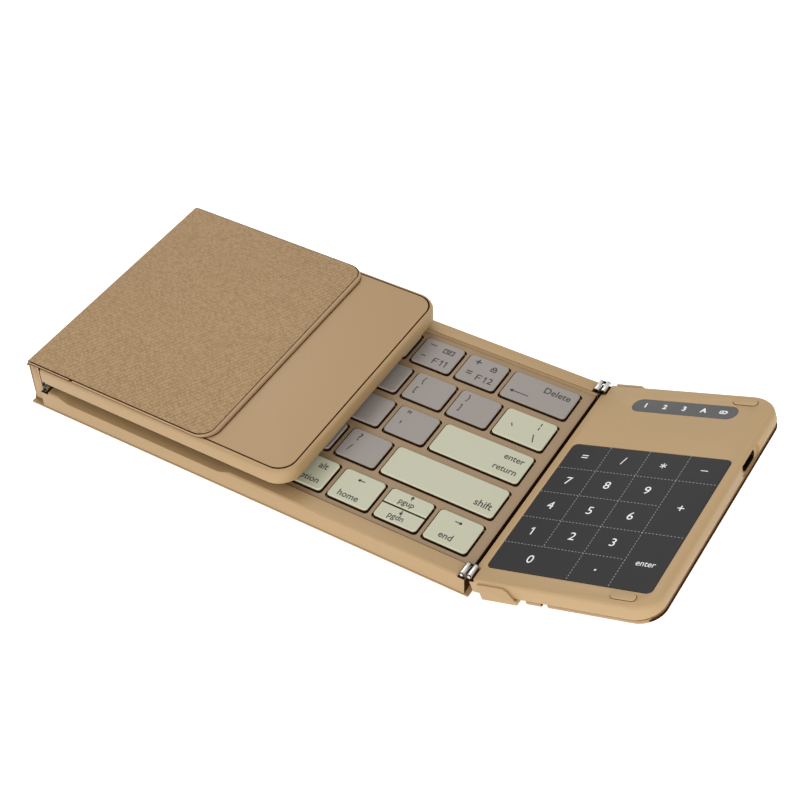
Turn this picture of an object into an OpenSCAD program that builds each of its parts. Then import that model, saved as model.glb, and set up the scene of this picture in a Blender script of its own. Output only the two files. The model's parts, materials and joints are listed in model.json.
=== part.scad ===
// Folding keyboard with three panels, shown with the left panel folded over
// and the right panel, with its number pad, raised a little.
// Origin: middle of the underside. X runs along the keyboard, Y to the back.

/* [Middle panel] */
// Length of the middle panel along X
base_w = 167; // [150:0.5:190]
// Depth of all three panels, front to back
depth = 98; // [96:0.5:106]
// Height of the middle tray without its bottom sheet
base_t = 7.8; // [7.6:0.1:9]
// Thickness of the bottom sheet
sheet_t = 0.7; // [0.5:0.05:0.9]
// How far the bottom sheet stands out on the left
sheet_lip_left = 5.5; // [4:0.1:5.6]
// How far the bottom sheet stands out on the right
sheet_lip_right = 1.4; // [0.5:0.1:1.8]
// Width of the front rim
front_rim = 5.6; // [5.4:0.1:6.2]
// Width of the back rim
back_rim = 5.6; // [5.4:0.1:6.2]
// Depth of the key well below the rims
well_d = 2.5; // [2:0.1:2.8]
// Depth of the finger recess in the rims
finger_d = 1.5; // [0.5:0.1:2]
// Length of the finger recess at its floor
finger_w = 62.8; // [40:0.5:90]
// Distance from the left wall to the recess
finger_x = 11.6; // [9:0.2:30]

/* [Keys] */
// Key spacing along a row
pitch_x = 17.5; // [17:0.1:17.6]
// Key spacing from row to row
pitch_y = 16.86; // [16:0.02:17]
// Gap between two keys of a row
key_gap = 2.43; // [2:0.05:3.5]
// Depth of a key, front to back
key_d = 13.1; // [12:0.1:13.6]
// Corner radius of a key
key_r = 1.7; // [0.8:0.1:2.5]
// Edge round of a key's top
key_edge_r = 0.45; // [0.2:0.05:0.7]
// Height of a key
key_h = 3.2; // [2.9:0.05:3.3]
// Wall of a hollow key
key_wall = 1.2; // [0.9:0.1:1.5]
// Travel of a key
key_travel = 1.2; // [0.8:0.05:1.25]
// Gap between a key and its opening
key_clear = 0.35; // [0.25:0.05:0.5]
// Margin between the last key and the right wall
key_margin = 4.5; // [4.2:0.1:6]
// Distance from the back face to the first row
row_margin = 9.0; // [8.6:0.1:9.4]
// Key spacing on the left panel
left_pitch = 15.6; // [15:0.1:15.8]

/* [Left panel] */
// Length of the left panel
left_len = 101; // [95:0.5:101]
// Thickness of the left tray with its back plate
left_t = 6.3; // [6.2:0.05:6.3]
// Space between the rims of folded panels
fold_gap = 4.0; // [3.6:0.1:4.0]
// How far the folded left panel's wall lies inside the middle panel's wall
fold_in_left = 1.8; // [1.2:0.1:1.9]

/* [Right panel] */
// Length of the right panel
right_len = 62.9; // [60:0.1:63]
// Thickness of the right tray
right_t = 5.8; // [5.8:0.1:6.0]
// How far the folded right panel's wall lies inside the middle panel's wall
fold_in_right = 0.8; // [0.4:0.1:1]
// Tilt of the right panel at rest, in degrees from flat
right_tilt = 20.4; // [0:0.2:60]
// Length of the number pad
pad_w = 56.8; // [50:0.2:58]
// Depth of the number pad
pad_d = 60.3; // [55:0.1:62]
// Thickness of the number pad's glass
glass_t = 0.8; // [0.6:0.05:0.9]
// Length of the indicator window
window_w = 37.8; // [30:0.2:42]
// Depth of the indicator window
window_d = 6.6; // [5:0.1:8]
// Thickness of the leaves under the right panel
leaf_t = 1.3; // [1:0.05:1.4]
// Width of the charging socket's mouth
port_w = 8.9; // [8.6:0.1:9.2]
// Height of the charging socket's mouth
port_h = 3.2; // [3:0.05:3.3]

/* [Hinges] */
// Distance between a hinge's two axes
link_s = 2.6; // [2.5:0.05:2.8]
// Radius of the hinge barrels
barrel_r = 1.1; // [0.95:0.05:1.15]
// Radius of the hinge pins
pin_r = 0.5; // [0.4:0.05:0.55]
// Radial play of a pin in its barrel
pin_play = 0.05; // [0.03:0.01:0.08]
// Length of a hinge along Y
hinge_len = 5.2; // [4.6:0.1:5.2]
// Thickness of a link plate
link_t = 0.7; // [0.5:0.05:0.9]
// Play between moving neighbours
play = 0.1; // [0.08:0.01:0.12]
// Gap between the middle and the left panel when open
gap_left = 0.7; // [0.6:0.05:0.9]
// Gap between the middle and the right panel when open
gap_right = 1.2; // [0.7:0.05:1.3]

/* [Cover] */
// Thickness of the stand flap and its strip
flap_t = 1.4; // [1.2:0.05:1.4]
// Distance from the middle panel's left wall to the flap's fold line
flap_fold_x = 15.3; // [12:0.1:20]
// Distance from the middle panel's left wall to the flap's free edge
flap_end_x = 71.5; // [60:0.5:90]
// Slit between the strip and the flap
flap_slit = 1.4; // [1:0.1:2]
// Corner radius of the flap
flap_r = 6.5; // [3:0.5:10]
// Width of the flap's border at its free edge
border_w = 3.3; // [2:0.1:5]
// Width of the flap's border along its sides
border_side = 1.5; // [1:0.1:3]
// Lowest point of the spine, below the middle panel's rim
spine_drop = 4.0; // [3.5:0.1:4.4]
// Thickness of the spine's plate
spine_t = 1.3; // [0.9:0.05:1.3]
// Reach of the spine's end blocks
ear_t = 3.8; // [2.6:0.1:3.8]
// Length of the spine's end blocks along Y
ear_len = 5.0; // [3:0.1:6]
// Distance of the spine's ends from the front and back faces
ear_set = 1.5; // [1.5:0.1:2.5]
// Thickness of the spine's skin
skin_t = 0.3; // [0.2:0.05:0.3]

/* [Hidden] */
$fn = 48;
eps = 0.01;

tan_plastic = [0.73, 0.62, 0.48];
tan_fabric = [0.68, 0.56, 0.42];
taupe = [0.63, 0.59, 0.56];
sage = [0.78, 0.79, 0.70];
charcoal = [0.24, 0.24, 0.24];
board_green = [0.16, 0.36, 0.24];

// Heights are measured from the rim, upwards
rim_z = sheet_t + base_t;
half_w = base_w / 2;
half_d = depth / 2;
wall = 1.2;
side_wall = 4.4;
end_wall = 3.2;
deck_t = 1.0;
left_deck_t = 0.8;
plate_t = 1.0;
plate_inset = 1.5;
plate_play = 0.3;
outer_r = 8;

// Boards, rubber domes and screws
base_board_t = 0.8;
left_board_t = 0.5;
board_play = 0.5;
dome_foil_t = 0.1;
dome_r = 2.4;
dome_base_taper = 0.6;
dome_left_taper = 0.8;
plunger_r = 1.8;
dome_top = -(key_h + key_travel + play);
screw_r = 0.7;
screw_l = 3.2;
screw_play = 0.1;
screw_head_r = 1.25;
screw_head_h = 0.5;
screw_x = half_w - 12;
screw_y = half_d - 3.1;

// Left tray: rounding slices [height, inset of the free end, inset of the sides]
left_slices = [
    [-eps, 0.7, 0.4], [-0.6, 0.1, 0.05], [-0.9, 0, 0], [-left_t + 1.2, 0, 0],
    [-left_t + 0.5, 0.35, 0.25], [-left_t, 1.0, 0.8]
];
left_free_wall = 4.2;
left_back_rebate = 1.9;
left_back_inset = 1.4;
ear_recess_len = 20.6;
ear_recess_play = 0.3;
ear_recess_h = left_t - 3.6;

// Right tray: rounding slices, and what sits in it
right_slices = [
    [-eps, 1.7, 0.45], [-0.5, 0.8, 0.1], [-1.1, 0.2, 0], [-1.8, 0, 0],
    [-right_t + 1.3, 0, 0], [-right_t + 0.5, 0.5, 0.15], [-right_t, 1.3, 0.5]
];
right_wall = 4.4;
right_inset = 1.6;
right_plate_t = 0.8;
top_t = 1.7;
glass_play = 0.2;
pad_x = 2.8;
pad_y = 6.1;
pad_r = 2;
window_x = 13.8;
window_y = depth - 12.7;
port_behind_pad = 4.3;
port_y = pad_y + pad_d + port_behind_pad;
port_z = -3.3;
port_len = 7.3;
port_in = 1.0;
port_wall = 0.3;
port_play = 0.1;
tongue_w = 6.6;
tongue_t = 0.7;
bumper_x = right_len - 15.1;
bumper_y = 2.2;
bumper_l = 8.3;
bumper_d = 2.8;
bumper_sink = 0.3;
bumper_h = 0.4;
bumper_play = 0.05;
touch_t = 0.5;
touch_set = 1;
battery_t = 2.2;
battery_r = 1.5;
battery_x = right_wall + 1.6;
battery_y = side_wall + 3;
battery_w = right_len - 15;
battery_d = depth * 0.49;
main_board_t = 0.7;
main_board_y = battery_y + battery_d + 6.6;
main_board_d = depth - side_wall - main_board_y - 1.6;
stack_play = 0.1;

// Bracket and leaves under the right panel
bracket_x0 = 3.0;
bracket_x1 = 15.8;
bracket_z = -right_t - leaf_t;
ear_w = 0.8;
front_ear_top = -1.2;
back_ear_top = -0.1;
slat_x = 18.4;
slat_w = 5.5;
long_leaf_x = 26;
leaf_inset = 0.4;

// Hinge axes: height above the rim, and distance inside each wall
axis_h = (link_s - fold_gap) / -2;
base_in_left = (link_s - gap_left + fold_in_left) / 2;
left_in = (link_s - gap_left - fold_in_left) / 2;
base_in_right = (link_s - gap_right + fold_in_right) / 2;
right_in = (link_s - gap_right - fold_in_right) / 2;
hinge_set = 0.2;
pocket_y = hinge_set + hinge_len + 0.2;
pocket_depth = 0.9;
pocket_reach = barrel_r + 0.25;
tang_d = 1.5;
post_w = 1.05;
post_set = 0.05;
link_r = barrel_r - 0.05;
waist = barrel_r - 0.25;

// Cover: hinge lines of the spine, the strip and the flap
spine_x0 = -4.4;
spine_bend_x = spine_x0 + 1.0;
cover_z = fold_gap + left_t + play;
ear_y = half_d - ear_set;
flap_y = half_d - 0.4;
spine_top = cover_z - 0.2;
spine_corner_r = 1.2;
flap_x0 = flap_fold_x + flap_slit / 2;
flap_len = flap_end_x - flap_x0;
inlay_t = 0.35;
inlay_play = 0.1;
magnet_r = 4;
magnet_t = 0.6;
magnet_play = 0.05;
magnet_step = 30;
magnet_x = flap_len - border_w - 4.5;
magnet_floor = 0.2;

// Key rows, counted from the back
function row_y(row) = half_d - row_margin - key_d / 2 - (row - 1) * pitch_y;
keys_right = half_w - key_margin;
keys_len = base_w - 2 * key_margin - 1.5;
unit_key = pitch_x - key_gap;
least_key = 10;

// ---- shared shapes ----

// Square with rounded corners, centred
module rounded(w, d, r) {
    union() {
        square([w - 2 * r, d], center = true);
        square([w, d - 2 * r], center = true);
        for (sx = [-1, 1], sy = [-1, 1])
            translate([sx * (w / 2 - r), sy * (d / 2 - r)]) circle(r);
    }
}

// Panel outline: straight at the wall u = 0, rounded at the free end
module panel_outline(len, half_depth, r) {
    union() {
        translate([0, -half_depth]) square([len - r, 2 * half_depth]);
        translate([0, -(half_depth - r)]) square([len, 2 * (half_depth - r)]);
        for (s = [-1, 1]) translate([len - r, s * (half_depth - r)]) circle(r);
    }
}

// Solid panel from slices [height, inset of the free end, inset of the sides]
module panel_body(len, slices) {
    hull()
        for (s = slices)
            translate([0, 0, s[0]])
                linear_extrude(eps)
                    panel_outline(len - s[1], half_d - s[2], outer_r - s[2]);
}

// Extrudes a profile drawn in (u, height) along Y, between two values of y
module along_y(y0, y1) {
    translate([0, y1, 0]) rotate([90, 0, 0]) linear_extrude(y1 - y0) children();
}

// Repeats at the front and the back, mirrored
module front_and_back() {
    for (s = [0, 1]) mirror([0, s, 0]) children();
}

// ---- places of the panels ----

// Left wall of the middle panel; u runs to the right
module at_base_left() { translate([-half_w, 0, rim_z]) children(); }

// Right wall of the middle panel; u runs to the left
module at_base_right() { translate([half_w, 0, rim_z]) mirror([1, 0, 0]) children(); }

// Left panel, folded over; u runs to the right from its hinge wall
module at_left() {
    translate([-half_w + fold_in_left, 0, rim_z + fold_gap]) mirror([0, 0, 1]) children();
}

// Right panel at rest; u runs to the right from its hinge wall
module at_right_axis(extra) {
    translate([half_w - base_in_right, 0, rim_z + axis_h])
        rotate([0, -right_tilt / 2, 0]) translate([link_s, 0, 0])
            rotate([0, -right_tilt / 2 * extra, 0]) children();
}
module at_right() { at_right_axis(1) translate([-right_in, 0, -axis_h]) children(); }

// ---- hinges ----

// Barrel on its post, at distance `inside` from the wall
module knuckle(inside) {
    y0 = -half_d + hinge_set + link_t + play;
    y1 = -half_d + hinge_set + hinge_len - link_t - play;
    along_y(y0, y1) {
        difference() {
            union() {
                translate([inside, axis_h]) circle(barrel_r);
                translate([inside + post_set, -pocket_depth - tang_d])
                    square([post_w, pocket_depth + tang_d + axis_h]);
            }
            translate([inside, axis_h]) circle(pin_r + pin_play);
        }
    }
}

// Notch in a panel's corner for the hinge, with the slot for the post
module hinge_pocket(inside) {
    y1 = -half_d + pocket_y;
    translate([-1, -half_d - 1, -pocket_depth])
        cube([1 + inside + pocket_reach, pocket_y + 1, pocket_depth + 3]);
    y0 = -half_d + hinge_set + link_t + play;
    post_len = hinge_len - 2 * (link_t + play);
    translate([inside + post_set, y0, -pocket_depth - tang_d])
        cube([post_w, post_len, tang_d + 1]);
}

// Link plates and pins in a frame whose origin is the panel's axis, the
// middle panel's axis lying at [ax, az]
module link_plates(ax, az) {
    front_and_back()
        for (y = [hinge_set, hinge_set + hinge_len - link_t])
            along_y(-half_d + y, -half_d + y + link_t)
                difference() {
                    union() {
                        circle(link_r);
                        translate([ax, az]) circle(link_r);
                        rotate(atan2(az, ax)) translate([0, -waist])
                            square([link_s, 2 * waist]);
                    }
                    circle(pin_r);
                    translate([ax, az]) circle(pin_r);
                }
}

module link_pins(ax, az) {
    front_and_back()
        along_y(-half_d + hinge_set, -half_d + hinge_set + hinge_len) {
            circle(pin_r);
            translate([ax, az]) circle(pin_r);
        }
}

// ---- keys ----

// One hollow key; its top is at height 0 and its middle at the origin
module key_cap(w, d = key_d) {
    difference() {
        intersection() {
            translate([0, 0, -key_h]) linear_extrude(key_h) rounded(w, d, key_r);
            rotate([90, 0, 0]) linear_extrude(d + 2, center = true) key_side(w);
            rotate([90, 0, 90]) linear_extrude(w + 2, center = true) key_side(d);
        }
        translate([-w / 2 + key_wall, -d / 2 + key_wall, -key_h - 1])
            cube([w - 2 * key_wall, d - 2 * key_wall, key_h + 1 - key_wall]);
    }
    translate([0, 0, -key_h]) cylinder(r = plunger_r, h = key_h - key_wall + eps);
}

// Side view of a key: upright walls with rounded top edges
module key_side(w) {
    r = key_edge_r;
    union() {
        translate([-w / 2, -key_h - 1]) square([w, key_h + 1 - r]);
        translate([-w / 2 + r, -r - eps]) square([w - 2 * r, r + eps]);
        for (s = [-1, 1]) translate([s * (w / 2 - r), -r]) circle(r);
    }
}

// Each key is [distance of its right edge from the row's right end, width]
function after(k) = k[0] + k[1] + key_gap;
function next_unit(k) = [after(k), unit_key];
function fill_from(k) = [after(k), keys_len - after(k)];

// Unit keys from k to the left wall; the last one takes what room is left
function rest_of(k) =
    keys_len - after(k) < pitch_x + least_key
        ? [fill_from(k)]
        : concat([next_unit(k)], rest_of(next_unit(k)));

k_delete = [0, 24.8];
k_equals = next_unit(k_delete);
k_minus = next_unit(k_equals);
k_backslash = [0, 18.6];
k_bracket_right = next_unit(k_backslash);
k_bracket_left = next_unit(k_bracket_right);
k_enter = [0, 32.9];
k_quote = next_unit(k_enter);
k_shift = [0, 41.3];
k_slash = next_unit(k_shift);
k_end = [0, 15.6];
k_page = [after(k_end), 15.6];
k_home = next_unit(k_page);
k_option = next_unit(k_home);
page_d = (key_d - 0.7) / 2;

row_1_rest = rest_of(k_minus);
row_2_rest = rest_of(k_bracket_left);
row_3_rest = rest_of(k_quote);
row_4_rest = rest_of(k_slash);
row_5_rest = [fill_from(k_option)];
base_rows = [
    concat([k_delete, k_equals, k_minus], row_1_rest),
    concat([k_backslash, k_bracket_right, k_bracket_left], row_2_rest),
    concat([k_enter, k_quote], row_3_rest),
    concat([k_shift, k_slash], row_4_rest),
    concat([k_end, k_page, k_home, k_option], row_5_rest)
];

module place_key(k, row) {
    translate([keys_right - k[0] - k[1] / 2, row_y(row), rim_z]) children();
}
module base_key(k, row) { place_key(k, row) key_cap(k[1]); }
module half_key(k, side) {
    translate([0, side * (key_d - page_d) / 2, 0])
        place_key(k, 5) key_cap(k[1], page_d);
}
module base_key_row(keys, row) { for (k = keys) base_key(k, row); }

// Left panel: [distance from the hinge wall, width] of each key
left_first = 4.6;
left_unit = left_pitch - key_gap;
left_end = left_len - 6.5;
function left_row(units) = [
    for (i = [0 : units])
        let (u0 = left_first + i * left_pitch)
            i < units ? [u0, left_unit] : [u0, left_end - u0]
];
left_rows = [left_row(5), left_row(4), left_row(4), left_row(4), left_row(4)];
module left_key_row(row) {
    at_left() for (k = left_rows[row - 1])
        translate([k[0] + k[1] / 2, row_y(row), 0]) key_cap(k[1]);
}

// ---- middle panel ----

module base_profile() {
    c = 0.5;
    polygon([
        [-half_d, -base_t + c], [-half_d + c, -base_t], [half_d - c, -base_t],
        [half_d, -base_t + c], [half_d, -c], [half_d - c, 0],
        [half_d - back_rim, 0], [half_d - back_rim - 0.8, -well_d],
        [-half_d + front_rim + 0.5, -well_d], [-half_d + front_rim, 0],
        [-half_d + c, 0], [-half_d, -c]
    ]);
}

module base_tray() color(tan_plastic) {
    floor_h = base_t - well_d - deck_t;
    difference() {
        translate([-half_w, 0, rim_z]) rotate([90, 0, 90]) linear_extrude(base_w) base_profile();
        // room below the key deck
        translate([-half_w + end_wall, -half_d + side_wall, sheet_t - 1])
            cube([base_w - 2 * end_wall, depth - 2 * side_wall, floor_h + 1]);
        // seat of the floor plate
        translate([-half_w + plate_inset, -half_d + plate_inset, sheet_t - 1])
            cube([base_w - 2 * plate_inset, depth - 2 * plate_inset, plate_t + 1]);
        for (row = [1 : 5], k = base_rows[row - 1])
            place_key(k, row) key_opening(k[1]);
        at_base_left() front_and_back() hinge_pocket(base_in_left);
        at_base_right() front_and_back() hinge_pocket(base_in_right);
        at_base_left() finger_recess();
        screw_places() translate([0, 0, plate_t]) cylinder(r = screw_r + eps, h = screw_l);
    }
}

module key_opening(w, d = key_d) {
    translate([0, 0, -base_t])
        linear_extrude(base_t) rounded(w + 2 * key_clear, d + 2 * key_clear, key_r + key_clear);
}

// Shallow dip across both rims, where fingers lift the folded panel
module finger_recess() {
    slope = 4.3;
    along_y(-half_d - 1, half_d + 1)
        polygon([
            [finger_x - slope, 0], [finger_x, -finger_d], [finger_x + finger_w, -finger_d],
            [finger_x + finger_w + slope, 0], [finger_x + finger_w + slope, 1],
            [finger_x - slope, 1]
        ]);
}

module base_floor_plate() color("silver") {
    p = plate_inset + plate_play;
    difference() {
        translate([-half_w + p, -half_d + p, sheet_t]) cube([base_w - 2 * p, depth - 2 * p, plate_t]);
        screw_places() {
            translate([0, 0, -1]) cylinder(r = screw_r + screw_play, h = plate_t + 2);
            translate([0, 0, -1]) cylinder(r = screw_head_r + screw_play, h = screw_head_h + 1);
        }
    }
}

module screw_places() {
    for (sx = [-1, 0, 1], sy = [-1, 1])
        translate([sx * screw_x, sy * screw_y, sheet_t]) children();
}

module base_screws() color("silver") {
    screw_places() {
        cylinder(r = screw_r, h = plate_t + screw_l - play);
        cylinder(r = screw_head_r, h = screw_head_h);
    }
}

module base_sheet() color(tan_fabric) {
    translate([-half_w - sheet_lip_left, -half_d, 0])
        cube([base_w + sheet_lip_left + sheet_lip_right, depth, sheet_t]);
}

module base_circuit_board() color(board_green) {
    x = end_wall + board_play;
    y = side_wall + board_play;
    translate([-half_w + x, -half_d + y, sheet_t + plate_t])
        cube([base_w - 2 * x, depth - 2 * y, base_board_t]);
}

// Foil with a rubber dome below each key
module base_dome_sheet() color("gainsboro") {
    foil_z = sheet_t + plate_t + base_board_t;
    dome_h = rim_z + dome_top - foil_z;
    x = end_wall + board_play + 0.5;
    y = side_wall + board_play + 0.5;
    translate([-half_w + x, -half_d + y, foil_z])
        cube([base_w - 2 * x, depth - 2 * y, dome_foil_t]);
    for (row = [1 : 5], k = base_rows[row - 1])
        translate([0, 0, foil_z - rim_z])
            place_key(k, row) cylinder(r1 = dome_r, r2 = dome_r * dome_base_taper, h = dome_h);
}

module base_hinge_knuckles() color("silver") {
    at_base_left() front_and_back() knuckle(base_in_left);
    at_base_right() front_and_back() knuckle(base_in_right);
}

// ---- left hinge and left panel ----

module left_hinge_links() color("silver") {
    at_left() translate([left_in, 0, axis_h]) link_plates(0, link_s);
}

module left_hinge_pins() color("silver") {
    at_left() translate([left_in, 0, axis_h]) link_pins(0, link_s);
}

module left_tray() color(tan_plastic) {
    cavity_top = -well_d - left_deck_t;
    at_left() difference() {
        panel_body(left_len, left_slices);
        // key well, open at the hinge wall
        translate([-1, -half_d + front_rim, -well_d])
            cube([left_len - left_free_wall + 1, depth - front_rim - back_rim, well_d + 1]);
        for (row = [1 : 5], k = left_rows[row - 1])
            translate([k[0] + k[1] / 2, row_y(row), 0]) key_opening(k[1]);
        // room below the key deck
        translate([end_wall, -half_d + side_wall, -left_t - 1])
            cube([left_len - end_wall - left_free_wall, depth - 2 * side_wall,
                left_t + 1 + cavity_top]);
        // seat of the back plate
        translate([left_back_rebate, 0, -left_t - 1]) linear_extrude(1 + plate_t)
            back_plate_outline(left_len, 0);
        front_and_back() hinge_pocket(left_in);
        front_and_back() ear_recess();
    }
}

// Room for the spine's end blocks when the cover lies flat below the panel
module ear_recess(extra = 0) {
    y0 = -half_d + ear_set - ear_recess_play;
    translate([-1, y0, -left_t - 1])
        cube([ear_recess_len + extra + 1, ear_len + 2 * ear_recess_play + extra,
            ear_recess_h + 1]);
}

// Back plate outline, from its own wall-side edge at u = 0
module back_plate_outline(len, gap) {
    inset = left_back_inset + gap;
    len_in = len - left_back_rebate - inset - gap;
    translate([gap, 0]) panel_outline(len_in, half_d - inset, outer_r - inset);
}

module left_back_plate() color(tan_plastic) {
    at_left() difference() {
        translate([left_back_rebate, 0, -left_t]) linear_extrude(plate_t)
            back_plate_outline(left_len, plate_play);
        front_and_back() ear_recess();
    }
}

module left_circuit_board() color(board_green) {
    x = end_wall + board_play;
    y = side_wall + board_play;
    at_left() difference() {
        translate([x, -half_d + y, -left_t + plate_t])
            cube([left_len - left_free_wall - x - board_play, depth - 2 * y, left_board_t]);
        front_and_back() ear_recess(board_play);
    }
}

module left_dome_sheet() color("gainsboro") {
    foil = -left_t + plate_t + left_board_t;
    x = end_wall + board_play + 0.5;
    y = side_wall + board_play + 2;
    at_left() {
        translate([x, -half_d + y, foil])
            cube([left_len - left_free_wall - x - 2 * board_play, depth - 2 * y, dome_foil_t]);
        for (row = [1 : 5], k = left_rows[row - 1])
            translate([k[0] + k[1] / 2, row_y(row), foil])
                cylinder(r1 = dome_r, r2 = dome_r * dome_left_taper, h = dome_top - foil);
    }
}

module left_hinge_knuckles() color("silver") {
    at_left() front_and_back() knuckle(left_in);
}

// ---- cover: spine, strip and stand flap ----

module spine_bar() color(tan_plastic) {
    x0 = spine_x0 + skin_t;
    r = spine_corner_r;
    h = spine_top + spine_drop;
    at_base_left() {
        translate([x0, -ear_y, -spine_drop]) cube([spine_t, 2 * ear_y, h]);
        front_and_back() along_y(-ear_y, -ear_y + ear_len) union() {
            translate([x0, -spine_drop]) square([ear_t, h - r]);
            translate([x0, -spine_drop]) square([ear_t - r, h]);
            translate([x0 + ear_t - r, spine_top - r]) circle(r);
        }
    }
}

module spine_skin() color(tan_fabric) {
    at_base_left() translate([spine_x0, -ear_y, -spine_drop])
        cube([skin_t, 2 * ear_y, cover_z - play + spine_drop]);
}

module cover_strip() color(tan_fabric) {
    x0 = spine_bend_x + play;
    at_base_left() translate([x0, -flap_y, cover_z])
        cube([flap_fold_x - flap_slit / 2 - x0, 2 * flap_y, flap_t]);
}

module magnet_places() {
    for (i = [-1, 0, 1]) translate([magnet_x, i * magnet_step, magnet_floor]) children();
}

module flap_board() color(tan_plastic) {
    at_base_left() translate([flap_x0, 0, cover_z]) difference() {
        linear_extrude(flap_t) panel_outline(flap_len, flap_y, flap_r);
        translate([-1, 0, flap_t - inlay_t]) linear_extrude(1)
            flap_inlay(0);
        magnet_places() cylinder(r = magnet_r + magnet_play, h = magnet_t);
    }
}

module flap_inlay(gap) {
    r = flap_r - border_side - gap;
    panel_outline(flap_len + 1 - border_w - gap, flap_y - border_side - gap, r);
}

module flap_fabric() color(tan_fabric) {
    at_base_left() translate([flap_x0, 0, cover_z + flap_t - inlay_t])
        intersection() {
            translate([-1, 0, 0]) linear_extrude(inlay_t) flap_inlay(inlay_play);
            translate([0, -half_d, -1]) cube([flap_len, depth, 3]);
        }
}

module flap_magnets() color("silver") {
    at_base_left() translate([flap_x0, 0, cover_z])
        magnet_places() cylinder(r = magnet_r, h = magnet_t);
}

// ---- right hinge and right panel ----

module right_hinge_links() color("silver") {
    at_right_axis(0) link_plates(-link_s, 0);
}

module right_hinge_pins() color("silver") {
    at_right_axis(0) link_pins(-link_s, 0);
}

module stadium(w, d) { rounded(w, d, d / 2 - eps); }
module at_pad() {
    translate([pad_x + pad_w / 2, -half_d + pad_y + pad_d / 2, 0]) children();
}
module at_window() {
    translate([window_x + window_w / 2, -half_d + window_y + window_d / 2, 0]) children();
}
module at_bumpers() {
    front_and_back() translate([bumper_x + bumper_l / 2, -half_d + bumper_y + bumper_d / 2, 0])
        children();
}
// Mouth of the charging socket; the profile lies in (y, height)
module at_port() {
    translate([right_len, -half_d + port_y, port_z]) rotate([90, 0, 90]) children();
}

module right_tray() color(tan_plastic) {
    at_right() difference() {
        panel_body(right_len, right_slices);
        translate([right_wall, -half_d + side_wall, -right_t - 1])
            cube([right_len - right_wall - end_wall, depth - 2 * side_wall, right_t + 1 - top_t]);
        // seat of the back plate
        translate([right_inset, 0, -right_t - 1]) linear_extrude(1 + right_plate_t)
            panel_outline(right_len - 2 * right_inset, half_d - right_inset, outer_r - right_inset);
        at_pad() translate([0, 0, -glass_t]) linear_extrude(glass_t + 1)
            rounded(pad_w, pad_d, pad_r);
        at_window() translate([0, 0, -glass_t]) linear_extrude(glass_t + 1)
            stadium(window_w, window_d);
        at_bumpers() translate([0, 0, -bumper_sink]) linear_extrude(2)
            stadium(bumper_l, bumper_d);
        // scoop and opening of the charging socket
        at_port() translate([0, 0, -port_in]) linear_extrude(3) stadium(port_w + 5, port_h + 1.0);
        at_port() translate([0, 0, -port_in - port_len - 2 * port_play])
            linear_extrude(port_len + 3) socket_outline(port_play);
        front_and_back() hinge_pocket(right_in);
    }
}

module pad_glass() color(charcoal) {
    at_right() at_pad() translate([0, 0, -glass_t]) linear_extrude(glass_t)
        rounded(pad_w - 2 * glass_play, pad_d - 2 * glass_play, pad_r - glass_play);
}

module indicator_window() color([0.4, 0.4, 0.4]) {
    at_right() at_window() translate([0, 0, -glass_t]) linear_extrude(glass_t)
        stadium(window_w - glass_play, window_d - glass_play);
}

module bumper_pads() color(tan_plastic) {
    at_right() at_bumpers() translate([0, 0, -bumper_sink]) linear_extrude(bumper_sink + bumper_h)
        stadium(bumper_l - 2 * bumper_play, bumper_d - 2 * bumper_play);
}

module touch_board() color(board_green) {
    x = right_wall + board_play;
    at_right() translate([x, -half_d + side_wall + touch_set, -top_t - touch_t])
        cube([right_len - end_wall - x - board_play, pad_d - touch_set, touch_t]);
}

module battery() color("dimgray") {
    z = -right_t + right_plate_t + stack_play;
    at_right() translate([battery_x + battery_w / 2, -half_d + battery_y + battery_d / 2, z])
        linear_extrude(battery_t) rounded(battery_w, battery_d, battery_r);
}

module main_board() color(board_green) {
    z = -right_t + right_plate_t + stack_play;
    at_right() difference() {
        translate([battery_x, -half_d + main_board_y, z])
            cube([right_len - end_wall - battery_x - board_play, main_board_d, main_board_t]);
        at_port() translate([0, 0, -port_in - port_len - board_play])
            linear_extrude(port_in + port_len + board_play)
                square([port_w + 2, 2 * port_h], center = true);
    }
}

// Outline of the charging socket's shell, widened by `gap`
module socket_outline(gap) {
    stadium(port_w + 2 * (port_wall + gap), port_h + 2 * (port_wall + gap));
}

module charging_socket() color("silver") {
    floor_t = 1;
    at_right() at_port() translate([0, 0, -port_in - port_len]) {
        difference() {
            linear_extrude(port_len) socket_outline(0);
            translate([0, 0, floor_t]) linear_extrude(port_len) stadium(port_w, port_h);
        }
        translate([-tongue_w / 2, -tongue_t / 2, floor_t / 2])
            cube([tongue_w, tongue_t, port_len - 2 * floor_t]);
    }
}

module right_back_plate() color(tan_plastic) {
    inset = right_inset + plate_play;
    at_right() difference() {
        translate([inset, 0, -right_t]) linear_extrude(right_plate_t)
            panel_outline(right_len - 2 * inset, half_d - inset, outer_r - inset);
        at_port() translate([0, 0, -port_in - port_len - 2 * port_play])
            linear_extrude(port_len + 3) socket_outline(port_play);
    }
}

// Bracket under the hinge side with an ear gripping each side face
module clip_bracket() color(tan_plastic) {
    at_right() {
        translate([bracket_x0, -half_d - ear_w, bracket_z])
            cube([bracket_x1 - bracket_x0, depth + 2 * ear_w, leaf_t]);
        along_y(-half_d - ear_w, -half_d) bracket_ear(front_ear_top);
        along_y(half_d, half_d + ear_w) bracket_ear(back_ear_top);
    }
}

// Side view of an ear: full height at the hinge, cut off slanting towards the pad
module bracket_ear(top) {
    w = bracket_x1 - bracket_x0;
    translate([bracket_x0, 0]) polygon([
        [0, bracket_z], [w, bracket_z], [w - 0.6, bracket_z + 1.4],
        [w - 2.2, top - 1.2], [w - 3.4, top - 0.1], [w - 4.8, top], [0, top]
    ]);
}

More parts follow.
